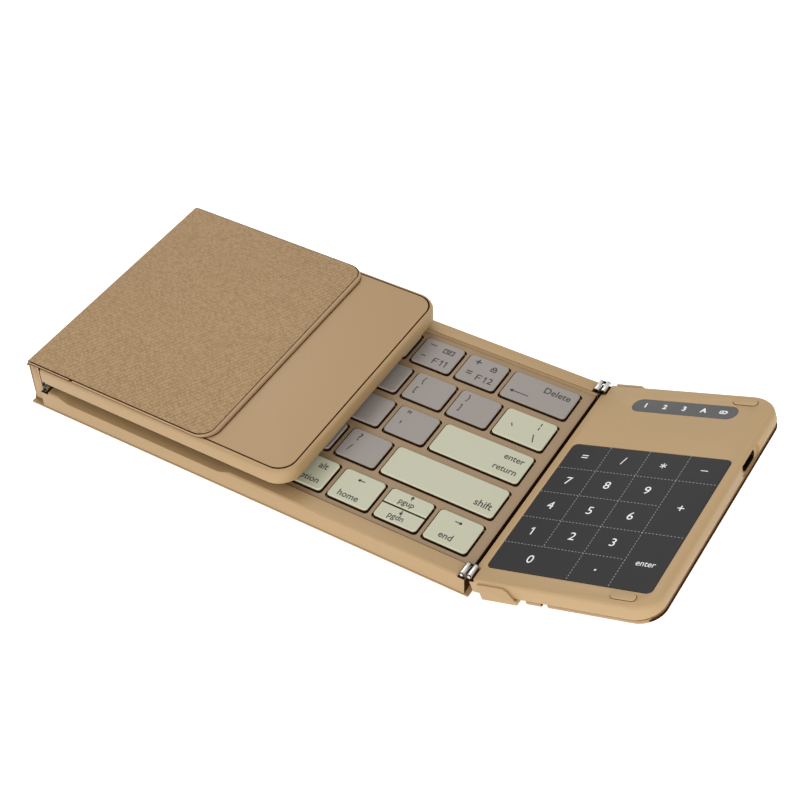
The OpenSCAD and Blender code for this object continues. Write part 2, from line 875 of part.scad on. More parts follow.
// Slat and long leaf under the right panel, up to its free edge
module cover_leaves() color(tan_fabric) {
    at_right() {
        translate([slat_x, -half_d + leaf_inset, bracket_z])
            cube([slat_w, depth - 2 * leaf_inset, leaf_t]);
        translate([long_leaf_x, 0, bracket_z]) linear_extrude(leaf_t)
            panel_outline(right_len - leaf_inset - long_leaf_x, half_d - leaf_inset,
                outer_r - leaf_inset);
    }
}

module right_hinge_knuckles() color("silver") {
    at_right() front_and_back() knuckle(right_in);
}

base_tray();
base_floor_plate();
base_sheet();
base_circuit_board();
base_dome_sheet();
base_hinge_knuckles();
base_screws();
left_hinge_links();
left_hinge_pins();
left_tray();
left_back_plate();
left_circuit_board();
left_dome_sheet();
left_hinge_knuckles();
spine_bar();
spine_skin();
cover_strip();
flap_board();
flap_fabric();
flap_magnets();
right_hinge_links();
right_hinge_pins();
right_tray();
pad_glass();
touch_board();
battery();
main_board();
charging_socket();
indicator_window();
bumper_pads();
right_back_plate();
clip_bracket();
cover_leaves();
right_hinge_knuckles();
color(taupe) base_key(k_minus, 1);  // key_minus
color(taupe) base_key(k_equals, 1);  // key_equals
color(taupe) base_key(k_delete, 1);  // key_delete
color(taupe) base_key(k_bracket_left, 2);  // key_bracket_left
color(taupe) base_key(k_bracket_right, 2);  // key_bracket_right
color(sage) base_key(k_backslash, 2);  // key_backslash
color(taupe) base_key(k_quote, 3);  // key_quote
color(sage) base_key(k_enter, 3);  // key_enter
color(taupe) base_key(k_slash, 4);  // key_slash
color(sage) base_key(k_shift, 4);  // key_shift
color(sage) base_key(k_option, 5);  // key_option
color(sage) base_key(k_home, 5);  // key_home
color(sage) half_key(k_page, 1);  // key_page_up
color(sage) half_key(k_page, -1);  // key_page_down
color(sage) base_key(k_end, 5);  // key_end
color(taupe) base_key_row(row_1_rest, 1);  // base_keys_row_1
color(taupe) base_key_row(row_2_rest, 2);  // base_keys_row_2
color(taupe) base_key_row(row_3_rest, 3);  // base_keys_row_3
color(taupe) base_key_row(row_4_rest, 4);  // base_keys_row_4
color(sage) base_key_row(row_5_rest, 5);  // base_keys_row_5
color(taupe) left_key_row(1);  // left_keys_row_1
color(taupe) left_key_row(2);  // left_keys_row_2
color(taupe) left_key_row(3);  // left_keys_row_3
color(taupe) left_key_row(4);  // left_keys_row_4
color(sage) left_key_row(5);  // left_keys_row_5
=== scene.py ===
# %% [markdown]
# # A folding keyboard, dressed for its portrait
# The keyboard has three panels. The left one is folded over the middle one under a
# cloth cover, and the right one, with its number pad, stands a little raised.
# Every solid comes from the frame; here they get their soft edges, cloth, print
# and finish. All lengths are metres, and `MM` turns millimetres into them.

# %% Load the frame
import json
import math

import bpy
from mathutils import Matrix, Vector

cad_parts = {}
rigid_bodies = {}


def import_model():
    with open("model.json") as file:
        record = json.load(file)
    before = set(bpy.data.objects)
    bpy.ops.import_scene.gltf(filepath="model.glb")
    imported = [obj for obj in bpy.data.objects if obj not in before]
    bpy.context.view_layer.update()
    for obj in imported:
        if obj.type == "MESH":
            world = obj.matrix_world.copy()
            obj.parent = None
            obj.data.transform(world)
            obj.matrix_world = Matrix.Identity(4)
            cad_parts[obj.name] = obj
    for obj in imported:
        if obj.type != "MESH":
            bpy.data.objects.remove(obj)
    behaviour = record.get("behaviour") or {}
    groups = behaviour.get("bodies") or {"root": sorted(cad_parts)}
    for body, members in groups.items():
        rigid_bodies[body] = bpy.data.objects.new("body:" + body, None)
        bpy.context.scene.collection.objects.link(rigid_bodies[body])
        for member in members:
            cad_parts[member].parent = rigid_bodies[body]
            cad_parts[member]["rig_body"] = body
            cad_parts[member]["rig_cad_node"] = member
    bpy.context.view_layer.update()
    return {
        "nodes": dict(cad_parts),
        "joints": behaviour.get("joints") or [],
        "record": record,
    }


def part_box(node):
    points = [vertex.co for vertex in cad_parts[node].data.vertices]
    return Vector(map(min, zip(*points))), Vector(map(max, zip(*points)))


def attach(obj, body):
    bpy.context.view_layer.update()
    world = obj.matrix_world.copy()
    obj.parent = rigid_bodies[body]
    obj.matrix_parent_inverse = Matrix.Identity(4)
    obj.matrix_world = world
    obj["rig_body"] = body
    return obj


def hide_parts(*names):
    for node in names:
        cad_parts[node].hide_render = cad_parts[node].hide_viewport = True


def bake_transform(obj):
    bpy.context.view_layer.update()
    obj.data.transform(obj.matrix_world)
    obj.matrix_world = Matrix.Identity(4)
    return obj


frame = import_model()
MM = 0.001
nodes = frame["nodes"]
print("nodes in the frame:", len(nodes))

# %% [markdown]
# ## Camera
# The portrait is taken from the front right, looking down at about 45 degrees, with a
# long lens. The place was found from the key grid, whose spacing is known.

# %% Camera
VIEW_TURN = 32.33
VIEW_DROP = 44.51
VIEW_ROLL = -1.94
EYE = Vector((235.7, -322.5, 392.7)) * MM
LENS = 72.75
SENSOR = 36
CLIP_START = 10 * MM

camera = bpy.data.objects.new("portrait_camera", bpy.data.cameras.new("portrait_camera"))
bpy.context.scene.collection.objects.link(camera)
camera.data.lens = LENS
camera.data.sensor_width = SENSOR
camera.data.clip_start = CLIP_START
camera.location = EYE
camera.rotation_euler = (
    Matrix.Rotation(math.radians(VIEW_TURN), 3, "Z")
    @ Matrix.Rotation(math.radians(90 - VIEW_DROP), 3, "X")
    @ Matrix.Rotation(math.radians(VIEW_ROLL), 3, "Z")
).to_euler()
bpy.context.scene.camera = camera
print("camera distance in mm:", round(EYE.length / MM))

# %% [markdown]
# ## Floor and light
# A pale floor far larger than the keyboard, a broad soft light above and behind on the
# left, another at the front right, and a bright even sky, as in a product photo.


# %% Floor and light
def select_only(*objects):
    """Deselect everything, then select these; the first becomes active."""
    bpy.ops.object.select_all(action="DESELECT")
    for one in objects:
        one.select_set(True)
    bpy.context.view_layer.objects.active = objects[0]


def area_light(name, place, size, power):
    """A round lamp that looks at the origin."""
    bpy.ops.object.light_add(type="AREA", location=place)
    lamp = bpy.context.object
    lamp.name = name
    lamp.data.shape = "DISK"
    lamp.data.size = size
    lamp.data.energy = power
    lamp.rotation_euler = (-Vector(place)).to_track_quat("-Z", "Y").to_euler()


FLOOR_SIZE = 6
FLOOR_DROP = 0.02 * MM
SKY_COLOUR = (1.0, 0.995, 0.985, 1)
SKY_STRENGTH = 0.72
bpy.ops.mesh.primitive_plane_add(size=FLOOR_SIZE, location=(0, 0, -FLOOR_DROP))
floor = bpy.context.object
floor.name = "studio_floor"

area_light("key_light", place=(-0.45, 0.45, 1.00), size=0.80, power=4.5)
area_light("front_light", place=(0.50, -0.90, 0.50), size=0.90, power=5.9)
world = bpy.data.worlds.new("studio_sky")
bpy.context.scene.world = world
world.use_nodes = True
sky = world.node_tree.nodes["Background"].inputs
sky["Color"].default_value = SKY_COLOUR
sky["Strength"].default_value = SKY_STRENGTH
bpy.context.scene.view_settings.view_transform = "Standard"

# %% [markdown]
# ## Writing materials as sums
# A shader is easier to read as a sum than as a web of nodes. `Val` wraps a socket, so
# that `grain * 0.5 + 0.2` adds the Math nodes by itself, and `Paint` makes the nodes.


# %% Shader helpers
class Val:
    """A number that changes over the surface."""

    def __init__(self, paint, socket):
        self.paint = paint
        self.socket = socket

    def _math(self, operation, a, b):
        return self.paint.node("ShaderNodeMath", {"operation": operation}, [a, b])

    def __add__(self, other):
        return self._math("ADD", self, other)

    def __mul__(self, other):
        return self._math("MULTIPLY", self, other)

    def __sub__(self, other):
        return self._math("SUBTRACT", self, other)

    def __rsub__(self, other):
        return self._math("SUBTRACT", other, self)

    def above(self, other):
        return self._math("GREATER_THAN", self, other)


class Paint:
    """A new material and the nodes that make it."""

    def __init__(self, name):
        self.material = bpy.data.materials.new(name)
        self.material.use_nodes = True
        self.tree = self.material.node_tree
        self.shader = self.tree.nodes["Principled BSDF"]

    def node(self, kind, settings, inputs=(), output=0):
        made = self.tree.nodes.new(kind)
        for key, value in settings.items():
            setattr(made, key, value)
        pairs = inputs.items() if isinstance(inputs, dict) else enumerate(inputs)
        for key, value in pairs:
            self.feed(made.inputs[key], value)
        return Val(self, made.outputs[output])

    def feed(self, socket, value):
        if isinstance(value, Val):
            self.tree.links.new(value.socket, socket)
        else:
            socket.default_value = value

    def place(self, stretch=(1, 1, 1), turn=0.0):
        """Object coordinates in millimetres, turned about Z and then stretched."""
        coords = self.tree.nodes.new("ShaderNodeTexCoord")
        inputs = {"Vector": Val(self, coords.outputs["Object"]),
                  "Rotation": (0, 0, math.radians(turn)), "Scale": [MM * s for s in stretch]}
        return self.node("ShaderNodeMapping", {"vector_type": "TEXTURE"}, inputs)

    def noise(self, per_mm, detail=2.0, where=None):
        where = where or self.place()
        inputs = {"Vector": where, "Scale": per_mm, "Detail": detail}
        return self.node("ShaderNodeTexNoise", {}, inputs, "Fac")

    def cells(self, per_mm, where=None, disorder=1.0):
        inputs = {"Vector": where or self.place(), "Scale": per_mm, "Randomness": disorder}
        return self.node("ShaderNodeTexVoronoi", {}, inputs, "Distance")

    def blend(self, factor, first, second):
        """A colour between two, by a factor that varies."""
        inputs = {0: factor, 6: (*first, 1), 7: (*second, 1)}
        return self.node("ShaderNodeMix", {"data_type": "RGBA"}, inputs, 2)

    def bump(self, height, strength, distance):
        inputs = {"Height": height, "Strength": strength, "Distance": distance * MM}
        return self.node("ShaderNodeBump", {}, inputs)

    def finish(self, colour=None, roughness=None, normal=None, **fixed):
        """Link what changes over the surface and set what doesn't."""
        if colour is not None:
            self.feed(self.shader.inputs["Base Color"], colour)
        if roughness is not None:
            self.feed(self.shader.inputs["Roughness"], roughness)
        if normal is not None:
            self.feed(self.shader.inputs["Normal"], normal)
        for key, value in fixed.items():
            self.shader.inputs[key.replace("_", " ")].default_value = value
        return self.material


def linear(r, g, b):
    """A screen colour of 0 to 255 as the shader's own numbers."""
    def one(c):
        c /= 255
        return c / 12.92 if c <= 0.04045 else ((c + 0.055) / 1.055) ** 2.4
    return (one(r), one(g), one(b))


def shade(colour, by):
    return tuple(min(1.0, c * by) for c in colour)


# %% [markdown]
# ## Plastic of the shells
# The trays are moulded in a warm tan plastic with a fine spark-eroded matt skin. Two
# noises make it: one of a fifth of a millimetre for the grain that breaks the gloss,
# and one of some centimetres for the slight unevenness of colour. A noise averages a
# half, so the constant in each sum keeps the mean colour and roughness as given.


# %% Moulded plastic
TAN = linear(166, 137, 97)
GRAIN_PER_MM = 5.0
CLOUD_PER_MM = 0.035
CLOUD_SHARE = 0.10


def moulded_plastic(name, colour, grain=0.05, rough=0.52, speckle=0.05):
    paint = Paint(name)
    skin = paint.noise(GRAIN_PER_MM, 3.0)
    cloud = paint.noise(CLOUD_PER_MM)
    mottle = skin * speckle + cloud * CLOUD_SHARE + (0.5 - speckle / 2 - CLOUD_SHARE / 2)
    tint = paint.blend(mottle, shade(colour, 0.90), shade(colour, 1.10))
    rough_map = skin * 0.14 + cloud * 0.06 + (rough - 0.10)
    normal = paint.bump(skin, 0.35, grain)
    return paint.finish(tint, rough_map, normal, IOR=1.46)


tan_plastic = moulded_plastic("tan_plastic", TAN)
tan_plate = moulded_plastic("tan_plate", linear(163, 134, 96), grain=0.04, rough=0.50)
# The same tan made lighter for the tilted right panel and its bumpers: painted light, as the tilted
# panel catches more light.
tan_painted_lighter = moulded_plastic("tan_painted_lighter", linear(171, 142, 101))
# A lighter tan for the rounded edges of the tan shells: a painted highlight.
tan_painted_highlight = moulded_plastic("tan_painted_highlight", linear(190, 160, 120), rough=0.42)
print("shell plastics:", len(bpy.data.materials))

# %% [markdown]
# ## Cloth of the cover
# The cover is a coated cloth with a short broken twill: small raised dashes, a little
# over half a millimetre apart, that slant across the cover. A fairly even cell
# pattern, stretched along the slant, gives the dashes; a noise makes them stronger or
# fainter. A cell's distance is least in the middle of a dash, which is the light part.


# %% Coated cloth
CLOTH = (150, 120, 80)
THREAD = 35
DASHES_PER_MM = 1.6
DASH_STRETCH = 2.3
DASH_DISORDER = 0.35
TWILL_TURN = -29.0
PATCHES_PER_MM = 0.5
CLOTH_CLOUD_PER_MM = 0.03
CLOTH_RELIEF = 0.10


def coated_cloth(name, colour):
    paint = Paint(name)
    along = paint.place(stretch=(DASH_STRETCH, 1.0, 1.0), turn=TWILL_TURN)
    dashes = paint.cells(DASHES_PER_MM, along, DASH_DISORDER)
    patches = paint.noise(PATCHES_PER_MM)
    cloud = paint.noise(CLOTH_CLOUD_PER_MM)
    weave = dashes * (patches * 0.3 + 0.85)
    tone = weave * 0.9 + cloud * 0.15 - 0.02
    raised = linear(*[c + THREAD for c in colour])
    sunk = linear(*[c - THREAD for c in colour])
    tint = paint.blend(tone, raised, sunk)
    rough_map = weave * 0.15 + 0.52
    normal = paint.bump(1.0 - weave, 0.6, CLOTH_RELIEF)
    return paint.finish(tint, rough_map, normal, IOR=1.42)


cover_cloth = coated_cloth("cover_cloth", CLOTH)
border_leather = moulded_plastic("border_leather", linear(158, 129, 93), grain=0.07, rough=0.52)
print("cover materials:", cover_cloth.name, border_leather.name)

# %% [markdown]
# ## Keys, print and steel
# Keys are a denser, smoother plastic in two colours. Their legends are printed in dark
# grey, the number pad's in white. Hinge parts are turned steel with fine marks round
# the barrel.

# %% Key, print and steel materials
TAUPE = linear(140, 133, 127)
SAGE = linear(179, 179, 156)
key_taupe = moulded_plastic("key_taupe", TAUPE, grain=0.02, rough=0.48, speckle=0.03)
key_sage = moulded_plastic("key_sage", SAGE, grain=0.02, rough=0.48, speckle=0.03)
# Lighter copies of the two key plastics: a painted highlight on the top chamfers.
taupe_painted_highlight = moulded_plastic("taupe_painted_highlight", shade(TAUPE, 1.22), grain=0.01, speckle=0.03)
sage_painted_highlight = moulded_plastic("sage_painted_highlight", shade(SAGE, 1.28), grain=0.01, speckle=0.03)
dark_ink = moulded_plastic("dark_ink", linear(52, 50, 47), grain=0.01, rough=0.60)
white_ink = moulded_plastic("white_ink", linear(232, 232, 232), grain=0.01, rough=0.50)
grey_ink = moulded_plastic("grey_ink", linear(150, 150, 152), grain=0.01, rough=0.55)
pad_surface = moulded_plastic("pad_surface", linear(52, 51, 52), grain=0.015, rough=0.62)
window_surface = moulded_plastic("window_surface", linear(92, 92, 92), grain=0.01, rough=0.55)
pouch_foil = moulded_plastic("pouch_foil", linear(70, 70, 74), grain=0.03, rough=0.35)
dome_rubber = moulded_plastic("dome_rubber", linear(36, 36, 38), grain=0.03, rough=0.7)
# The deck's tan plastic, darkened with painted shade of the key well.
deck_shaded_plastic = moulded_plastic("deck_shaded_plastic", linear(146, 121, 90), grain=0.04)
# Near-black brown: painted shade for narrow gaps, openings and the shaded sides of parts.
painted_shade_dark = moulded_plastic("painted_shade_dark", linear(56, 32, 16), grain=0.06, rough=0.9)
# A brown for thin lines of painted shade at the rim's edge and round the bumpers.
painted_shade_brown = moulded_plastic("painted_shade_brown", linear(96, 70, 45), grain=0.03, rough=0.8)

DULL = ((pad_surface, 0.15), (window_surface, 0.15), (painted_shade_dark, 0.0), (painted_shade_brown, 0.0))
for dull, shine in DULL:
    dull.node_tree.nodes["Principled BSDF"].inputs["Specular IOR Level"].default_value = shine


def turned_steel(name, colour):
    paint = Paint(name)
    marks = paint.noise(1.2, 3.0, paint.place(stretch=(1, 0.16, 1)))
    tint = paint.blend(marks, shade(colour, 0.88), shade(colour, 1.08))
    rough_map = marks * 0.10 + 0.22
    normal = paint.bump(marks, 0.12, 0.01)
    return paint.finish(tint, rough_map, normal, Metallic=1.0)


def solder_mask(name):
    paint = Paint(name)
    tracks = paint.cells(0.6, paint.place(stretch=(1, 4, 1)))
    lines = tracks.above(0.32)
    tint = paint.blend(lines, linear(30, 92, 62), linear(22, 70, 48))
    return paint.finish(tint, paint.noise(2.0) * 0.2 + 0.35, paint.bump(lines, 0.3, 0.03))


hinge_steel = turned_steel("hinge_steel", linear(224, 222, 218))
plate_steel = turned_steel("plate_steel", linear(186, 186, 186))
link_steel = turned_steel("link_steel", linear(78, 74, 68))
socket_metal = turned_steel("socket_metal", linear(122, 97, 72))
green_board = solder_mask("green_board")

FLOOR_GLOW = 0.60


def floor_paper():
    paint = Paint("floor_paper")
    fibre = paint.noise(0.8, 4.0)
    tint = paint.blend(fibre, (0.83, 0.83, 0.83), (0.87, 0.87, 0.87))
    glow = {"Emission_Color": (1.0, 1.0, 1.0, 1), "Emission_Strength": FLOOR_GLOW}
    return paint.finish(tint, fibre * 0.1 + 0.75, paint.bump(fibre, 0.1, 0.02), **glow)


def dress(piece, material):
    """Give a piece one material."""
    piece.data.materials.clear()
    piece.data.materials.append(material)


dress(floor, floor_paper())
print("materials:", len(bpy.data.materials))

# %% [markdown]
# ## Softening a shell
# The frame's solids have crisp edges, and no moulded edge is crisp. Each shell is
# copied, its loose triangles are merged and joined into flat faces, and every sharp
# edge gets a small round. On the tan shells the round gets a lighter plastic, a painted
# highlight where the edge catches the light. The copy then stands for the solid.


# %% Softened copies
SHARP = math.radians(40)


def new_copy(node, name):
    copy = nodes[node].copy()
    copy.data = nodes[node].data.copy()
    copy.name = name
    copy.parent = None
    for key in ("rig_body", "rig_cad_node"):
        if key in copy:
            del copy[key]
    bpy.context.scene.collection.objects.link(copy)
    copy.hide_viewport = copy.hide_render = False
    copy.hide_set(False)
    return copy


def edit_all(piece):
    """Enter edit mode with the whole mesh of a piece selected."""
    select_only(piece)
    bpy.ops.object.mode_set(mode="EDIT")
    bpy.ops.mesh.select_all(action="SELECT")


def leave_edit():
    bpy.ops.object.mode_set(mode="OBJECT")


def bevel_selected(width, segments):
    """Bevel the selected edges and leave edit mode."""
    bpy.ops.mesh.bevel(offset=width, offset_type="OFFSET", segments=segments, affect="EDGES")
    leave_edit()


def thicken(piece, by):
    """Pull a flat piece out into a solid with its faces outwards."""
    edit_all(piece)
    bpy.ops.mesh.extrude_region_move(TRANSFORM_OT_translate={"value": by})
    bpy.ops.mesh.select_all(action="SELECT")
    bpy.ops.mesh.normals_make_consistent(inside=False)
    leave_edit()


def merge_faces(piece):
    edit_all(piece)
    bpy.ops.mesh.remove_doubles(threshold=0.002 * MM)
    bpy.ops.mesh.dissolve_limited(angle_limit=math.radians(1.0))
    leave_edit()


def round_edges(piece, width, segments=2, edge_slot=-1):
    """Round every sharp edge; the new faces can have another of the piece's materials."""
    select_only(piece)
    bevel = piece.modifiers.new("edge_round", "BEVEL")
    bevel.material = edge_slot
    bevel.width = width
    bevel.segments = segments
    bevel.limit_method = "ANGLE"
    bevel.angle_limit = SHARP
    bevel.use_clamp_overlap = True
    bpy.ops.object.modifier_apply(modifier=bevel.name)
    bpy.ops.object.shade_smooth_by_angle(angle=SHARP)


def repaint(piece, material, test):
    """Give the faces that pass a test another material."""
    piece.data.materials.append(material)
    for face in piece.data.polygons:
        if test(face):
            face.material_index = len(piece.data.materials) - 1


def fit(piece, material, body):
    """Give a piece its material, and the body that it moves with."""
    dress(piece, material)
    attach(piece, body)


def body_of_node(node):
    for body, members in frame["record"]["behaviour"]["bodies"].items():
        if node in members:
            return body
    raise KeyError(node)


def softened(node, name, material, width):
    """A copy of a solid with rounded edges, which takes the solid's place."""
    piece = new_copy(node, name)
    merge_faces(piece)
    dress(piece, material)
    # The tan shells get a painted highlight of lighter plastic on their rounded edges.
    gets_highlight = material in (tan_plastic, tan_plate, tan_painted_lighter)
    if gets_highlight:
        piece.data.materials.append(tan_painted_highlight)
    round_edges(piece, width, edge_slot=1 if gets_highlight else -1)
    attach(piece, body_of_node(node))
    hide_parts(node)
    return piece


# Node, piece, material, width of the rounded edges in millimetres, and slot
SHELLS = [
    ("base_tray", "middle_shell", tan_plastic, 0.28, "tan_shell"),
    ("left_tray", "left_shell", tan_plastic, 0.28, "tan_shell"),
    ("left_back_plate", "left_plate", tan_plate, 0.18, "tan_shell"),
    ("right_tray", "right_shell", tan_painted_lighter, 0.16, "tan_shell"),
    ("right_back_plate", "right_plate", tan_plate, 0.15, "tan_shell"),
    ("clip_bracket", "side_clip", tan_plastic, 0.25, "tan_shell"),
    ("bumper_pads", "soft_bumpers", tan_painted_lighter, 0.15, "tan_shell"),
    ("spine_bar", "spine_block", tan_plastic, 0.25, "tan_shell"),
    ("base_sheet", "under_sheet", border_leather, 0.18, "tan_cover"),
    ("cover_leaves", "under_leaves", border_leather, 0.25, "tan_cover"),
    ("indicator_window", "status_window", window_surface, 0.08, "indicator_window"),
    ("pad_glass", "touch_surface", pad_surface, 0.08, "pad_glass"),
]
for node, name, material, width, slot in SHELLS:
    piece = softened(node, name, material, width * MM)
    print(name, "faces:", len(piece.data.polygons))

# %% [markdown]
# ## Keys
# A key is a flat-topped cap: a block whose upright corners are rounded and whose top
# edge has a small chamfer, painted lighter as a highlight. Each starts as a cube of the key's
# own size. The two half keys are square where they meet. The lower part of the sides
# is painted dark as the shade of the opening.


# %% Key caps
UP = Vector((0, 0, 1))
SAME = 1e-6
KEY_CORNER = 1.35 * MM
KEY_CHAMFER = 0.30 * MM
LIT_SIDE = 0.55 * MM


def loose_boxes(node):
    """Lowest and highest corner of each separate solid of a node."""
    probe = new_copy(node, node + "_probe")
    merge_faces(probe)
    edit_all(probe)
    bpy.ops.mesh.separate(type="LOOSE")
    leave_edit()
    boxes = []
    for part in bpy.context.selected_objects:
        points = [v.co for v in part.data.vertices]
        low = Vector([min(p[i] for p in points) for i in range(3)])
        high = Vector([max(p[i] for p in points) for i in range(3)])
        boxes.append((low, high))
        bpy.data.objects.remove(part)
    return sorted(boxes, key=lambda b: b[0].x)


def edges_where(piece, test):
    """Select the edges whose two ends pass a test, and stay in edit mode."""
    bpy.ops.object.mode_set(mode="EDIT")
    bpy.ops.mesh.select_mode(type="EDGE")
    bpy.ops.mesh.select_all(action="DESELECT")
    leave_edit()
    points = piece.data.vertices
    for edge in piece.data.edges:
        edge.select = test(points[edge.vertices[0]].co, points[edge.vertices[1]].co)
    bpy.ops.object.mode_set(mode="EDIT")


def settle(piece):
    """Put a piece's place, turn and size into its mesh."""
    select_only(piece)
    bpy.ops.object.transform_apply(location=True, rotation=True, scale=True)


def block(name, low, high):
    bpy.ops.mesh.primitive_cube_add(size=1, location=(low + high) / 2)
    piece = bpy.context.object
    piece.name = name
    piece.scale = high - low
    settle(piece)
    return piece


def slab(name, low, high, width):
    """A thin board that fills a box, with rounded edges."""
    piece = block(name, low, high)
    round_edges(piece, width, 3)
    return piece


def cut_rows(piece, along, places):
    """Cut a piece across an axis at each of the places."""
    edit_all(piece)
    for place in places:
        bpy.ops.mesh.select_all(action="SELECT")
        bpy.ops.mesh.bisect(plane_co=along * place, plane_no=along)
    leave_edit()


def join(parts, name):
    select_only(*parts)
    if len(parts) > 1:
        bpy.ops.object.join()
    whole = bpy.context.object
    whole.name = name
    return whole


def round_corners(piece, low, high, name):
    """Round a block's upright edges; half keys keep the two edges where they meet."""
    kept = {"key_page_up": low.y, "key_page_down": high.y}
    skip = next((y for start, y in kept.items() if start in name), None)

    def upright(a, b):
        return abs(a.z - b.z) > 0.5 * (high.z - low.z) and (skip is None or abs(a.y - skip) > SAME)

    edges_where(piece, upright)
    bevel_selected(KEY_CORNER, 8)


def key_cap(name, low, high, up):
    """A key cap that fills the box; `up` is 1 where its top faces up, -1 where down."""
    cap = block(name, low, high)
    top = high.z if up > 0 else low.z
    round_corners(cap, low, high, name)
    edges_where(cap, lambda a, b: abs(a.z - top) < SAME and abs(b.z - top) < SAME)
    bevel_selected(KEY_CHAMFER, 1)
    cut_rows(cap, UP, [top - up * LIT_SIDE])
    bpy.ops.object.shade_smooth_by_angle(angle=math.radians(30))
    return cap


SAGE_NODES = ["key_backslash", "key_enter", "key_shift", "key_option", "key_home",
              "key_page_up", "key_page_down", "key_end", "base_keys_row_5",
              "left_keys_row_5"]
key_nodes = [n for n in nodes if n.startswith(("key_", "base_keys_", "left_keys_"))]
key_spot = {}
for node in sorted(key_nodes):
    facing = -1 if node.startswith("left_") else 1
    is_sage = node in SAGE_NODES
    caps = []
    for i, (low, high) in enumerate(loose_boxes(node)):
        caps.append(key_cap(f"{node}_cap_{i + 1}", low, high, facing))
        key_spot[node, i] = (low, high)
    for cap in caps:
        dress(cap, key_sage if is_sage else key_taupe)
        tip = max(facing * v.co.z for v in cap.data.vertices)
        # The chamfer faces get a painted highlight.
        edge = sage_painted_highlight if is_sage else taupe_painted_highlight
        repaint(cap, edge, lambda face: 0.3 < abs(face.normal.z) < 0.95)
        # The lower part of the cap's sides is painted shade.
        repaint(cap, painted_shade_dark, lambda face: tip - facing * face.center.z > LIT_SIDE)
        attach(cap, node)
    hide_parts(node)
print("key caps:", len(key_spot))

# %% [markdown]
# ## Decks round the keys
# A deck lies in each key well, with an opening for every key. It starts as a plain
# block, and for each key a block that is a little larger is cut out of it. The walls
# of the openings are painted dark as shade, so each key has a thin line of painted
# shade round it. The deck's own tan is darkened with painted shade of the well.

# %% Decks
DECK_RISE = 1.5 * MM
KEY_GAP = 0.60 * MM
DECK_HALF_Y = 43.0 * MM
DECK_INSET = 0.05 * MM
WELL_DEPTH = 2.5 * MM
DECK_BOTTOM = 2.52 * MM
LEFT_END_WALL = 4.3 * MM
CUT_PAST = 2 * MM


def deck(name, low, high, prefixes, body):
    """A block with an opening for each key whose name starts with a prefix."""
    piece = block(name, low, high)
    grow = Vector((KEY_GAP, KEY_GAP, CUT_PAST))
    cutters = []
    for (node, index), (key_low, key_high) in key_spot.items():
        if node.startswith(prefixes):
            cut_low, cut_high = key_low - grow, key_high + grow
            cutter = block(f"{name}_cutter_{len(cutters)}", cut_low, cut_high)
            round_corners(cutter, cut_low, cut_high, node)
            cutters.append(cutter)
    for cutter in cutters:
        select_only(piece)
        cut = piece.modifiers.new("openings", "BOOLEAN")
        cut.operation = "DIFFERENCE"
        cut.object = cutter
        cut.solver = "EXACT"
        bpy.ops.object.modifier_apply(modifier=cut.name)
        bpy.data.objects.remove(cutter)
    fit(piece, deck_shaded_plastic, body)
    # The walls of the openings are painted shade.
    repaint(piece, painted_shade_dark, lambda face: abs(face.normal.z) < 0.5)
    print(name, "openings:", len(cutters))


base_low, base_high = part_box("base_tray")
key_top = key_spot["key_end", 0][1].z
deck_low = Vector((base_low.x + DECK_INSET, -DECK_HALF_Y, key_top - DECK_BOTTOM))
deck_high = Vector((base_high.x - DECK_INSET, DECK_HALF_Y, key_top - WELL_DEPTH + DECK_RISE))
deck("middle_deck", deck_low, deck_high, ("key_", "base_keys_"), "base")
left_low, left_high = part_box("left_tray")
deck_low = Vector((left_low.x + DECK_INSET, -DECK_HALF_Y, left_low.z + WELL_DEPTH - DECK_RISE))
deck_high = Vector((left_high.x - LEFT_END_WALL, DECK_HALF_Y, left_low.z + DECK_BOTTOM))
deck("left_deck", deck_low, deck_high, ("left_keys_",), "left_panel")

# %% [markdown]
# ## Hinges
# At either end of its gap each hinge has two steel barrels side by side, joined by
# two short plates. The barrels are bright and the plates dark.

# %% Barrels and link plates
axis_at = {j["name"]: Vector(j["pos_m"]) for j in frame["joints"] if "pos_m" in j}
BARREL_R = 0.85 * MM
HINGE_OUT = 48.8 * MM
HINGE_IN = 43.6 * MM
LINK_T = 0.3 * MM
BARREL_PLAY = 0.05 * MM
BARREL_EDGE = 0.1 * MM
LINK_R = BARREL_R - 0.05 * MM
LINK_EDGE = 0.04 * MM
BRIDGE_HALF_H = 0.55 * MM


def rod(name, axis, y0, y1, radius, edge):
    """A round bar along Y about an axis."""
    middle = Vector((axis.x, (y0 + y1) / 2, axis.z))
    bpy.ops.mesh.primitive_cylinder_add(
        vertices=40, radius=radius, depth=abs(y1 - y0), location=middle,
        rotation=(math.radians(90), 0, 0))
    piece = bpy.context.object
    piece.name = name
    settle(piece)
    round_edges(piece, edge)
    return piece


def steel(parts, name, body, node, metal):
    """Join the parts to one piece that stands for a node."""
    piece = join(parts, name)
    fit(piece, metal, body)
    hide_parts(node)


def barrels(name, axes, body, node):
    y0 = HINGE_IN + LINK_T + BARREL_PLAY
    y1 = HINGE_OUT - LINK_T - BARREL_PLAY
    parts = [rod(name, axis, side * y0, side * y1, BARREL_R, BARREL_EDGE)
             for axis in axes for side in (-1, 1)]
    steel(parts, name, body, node, hinge_steel)


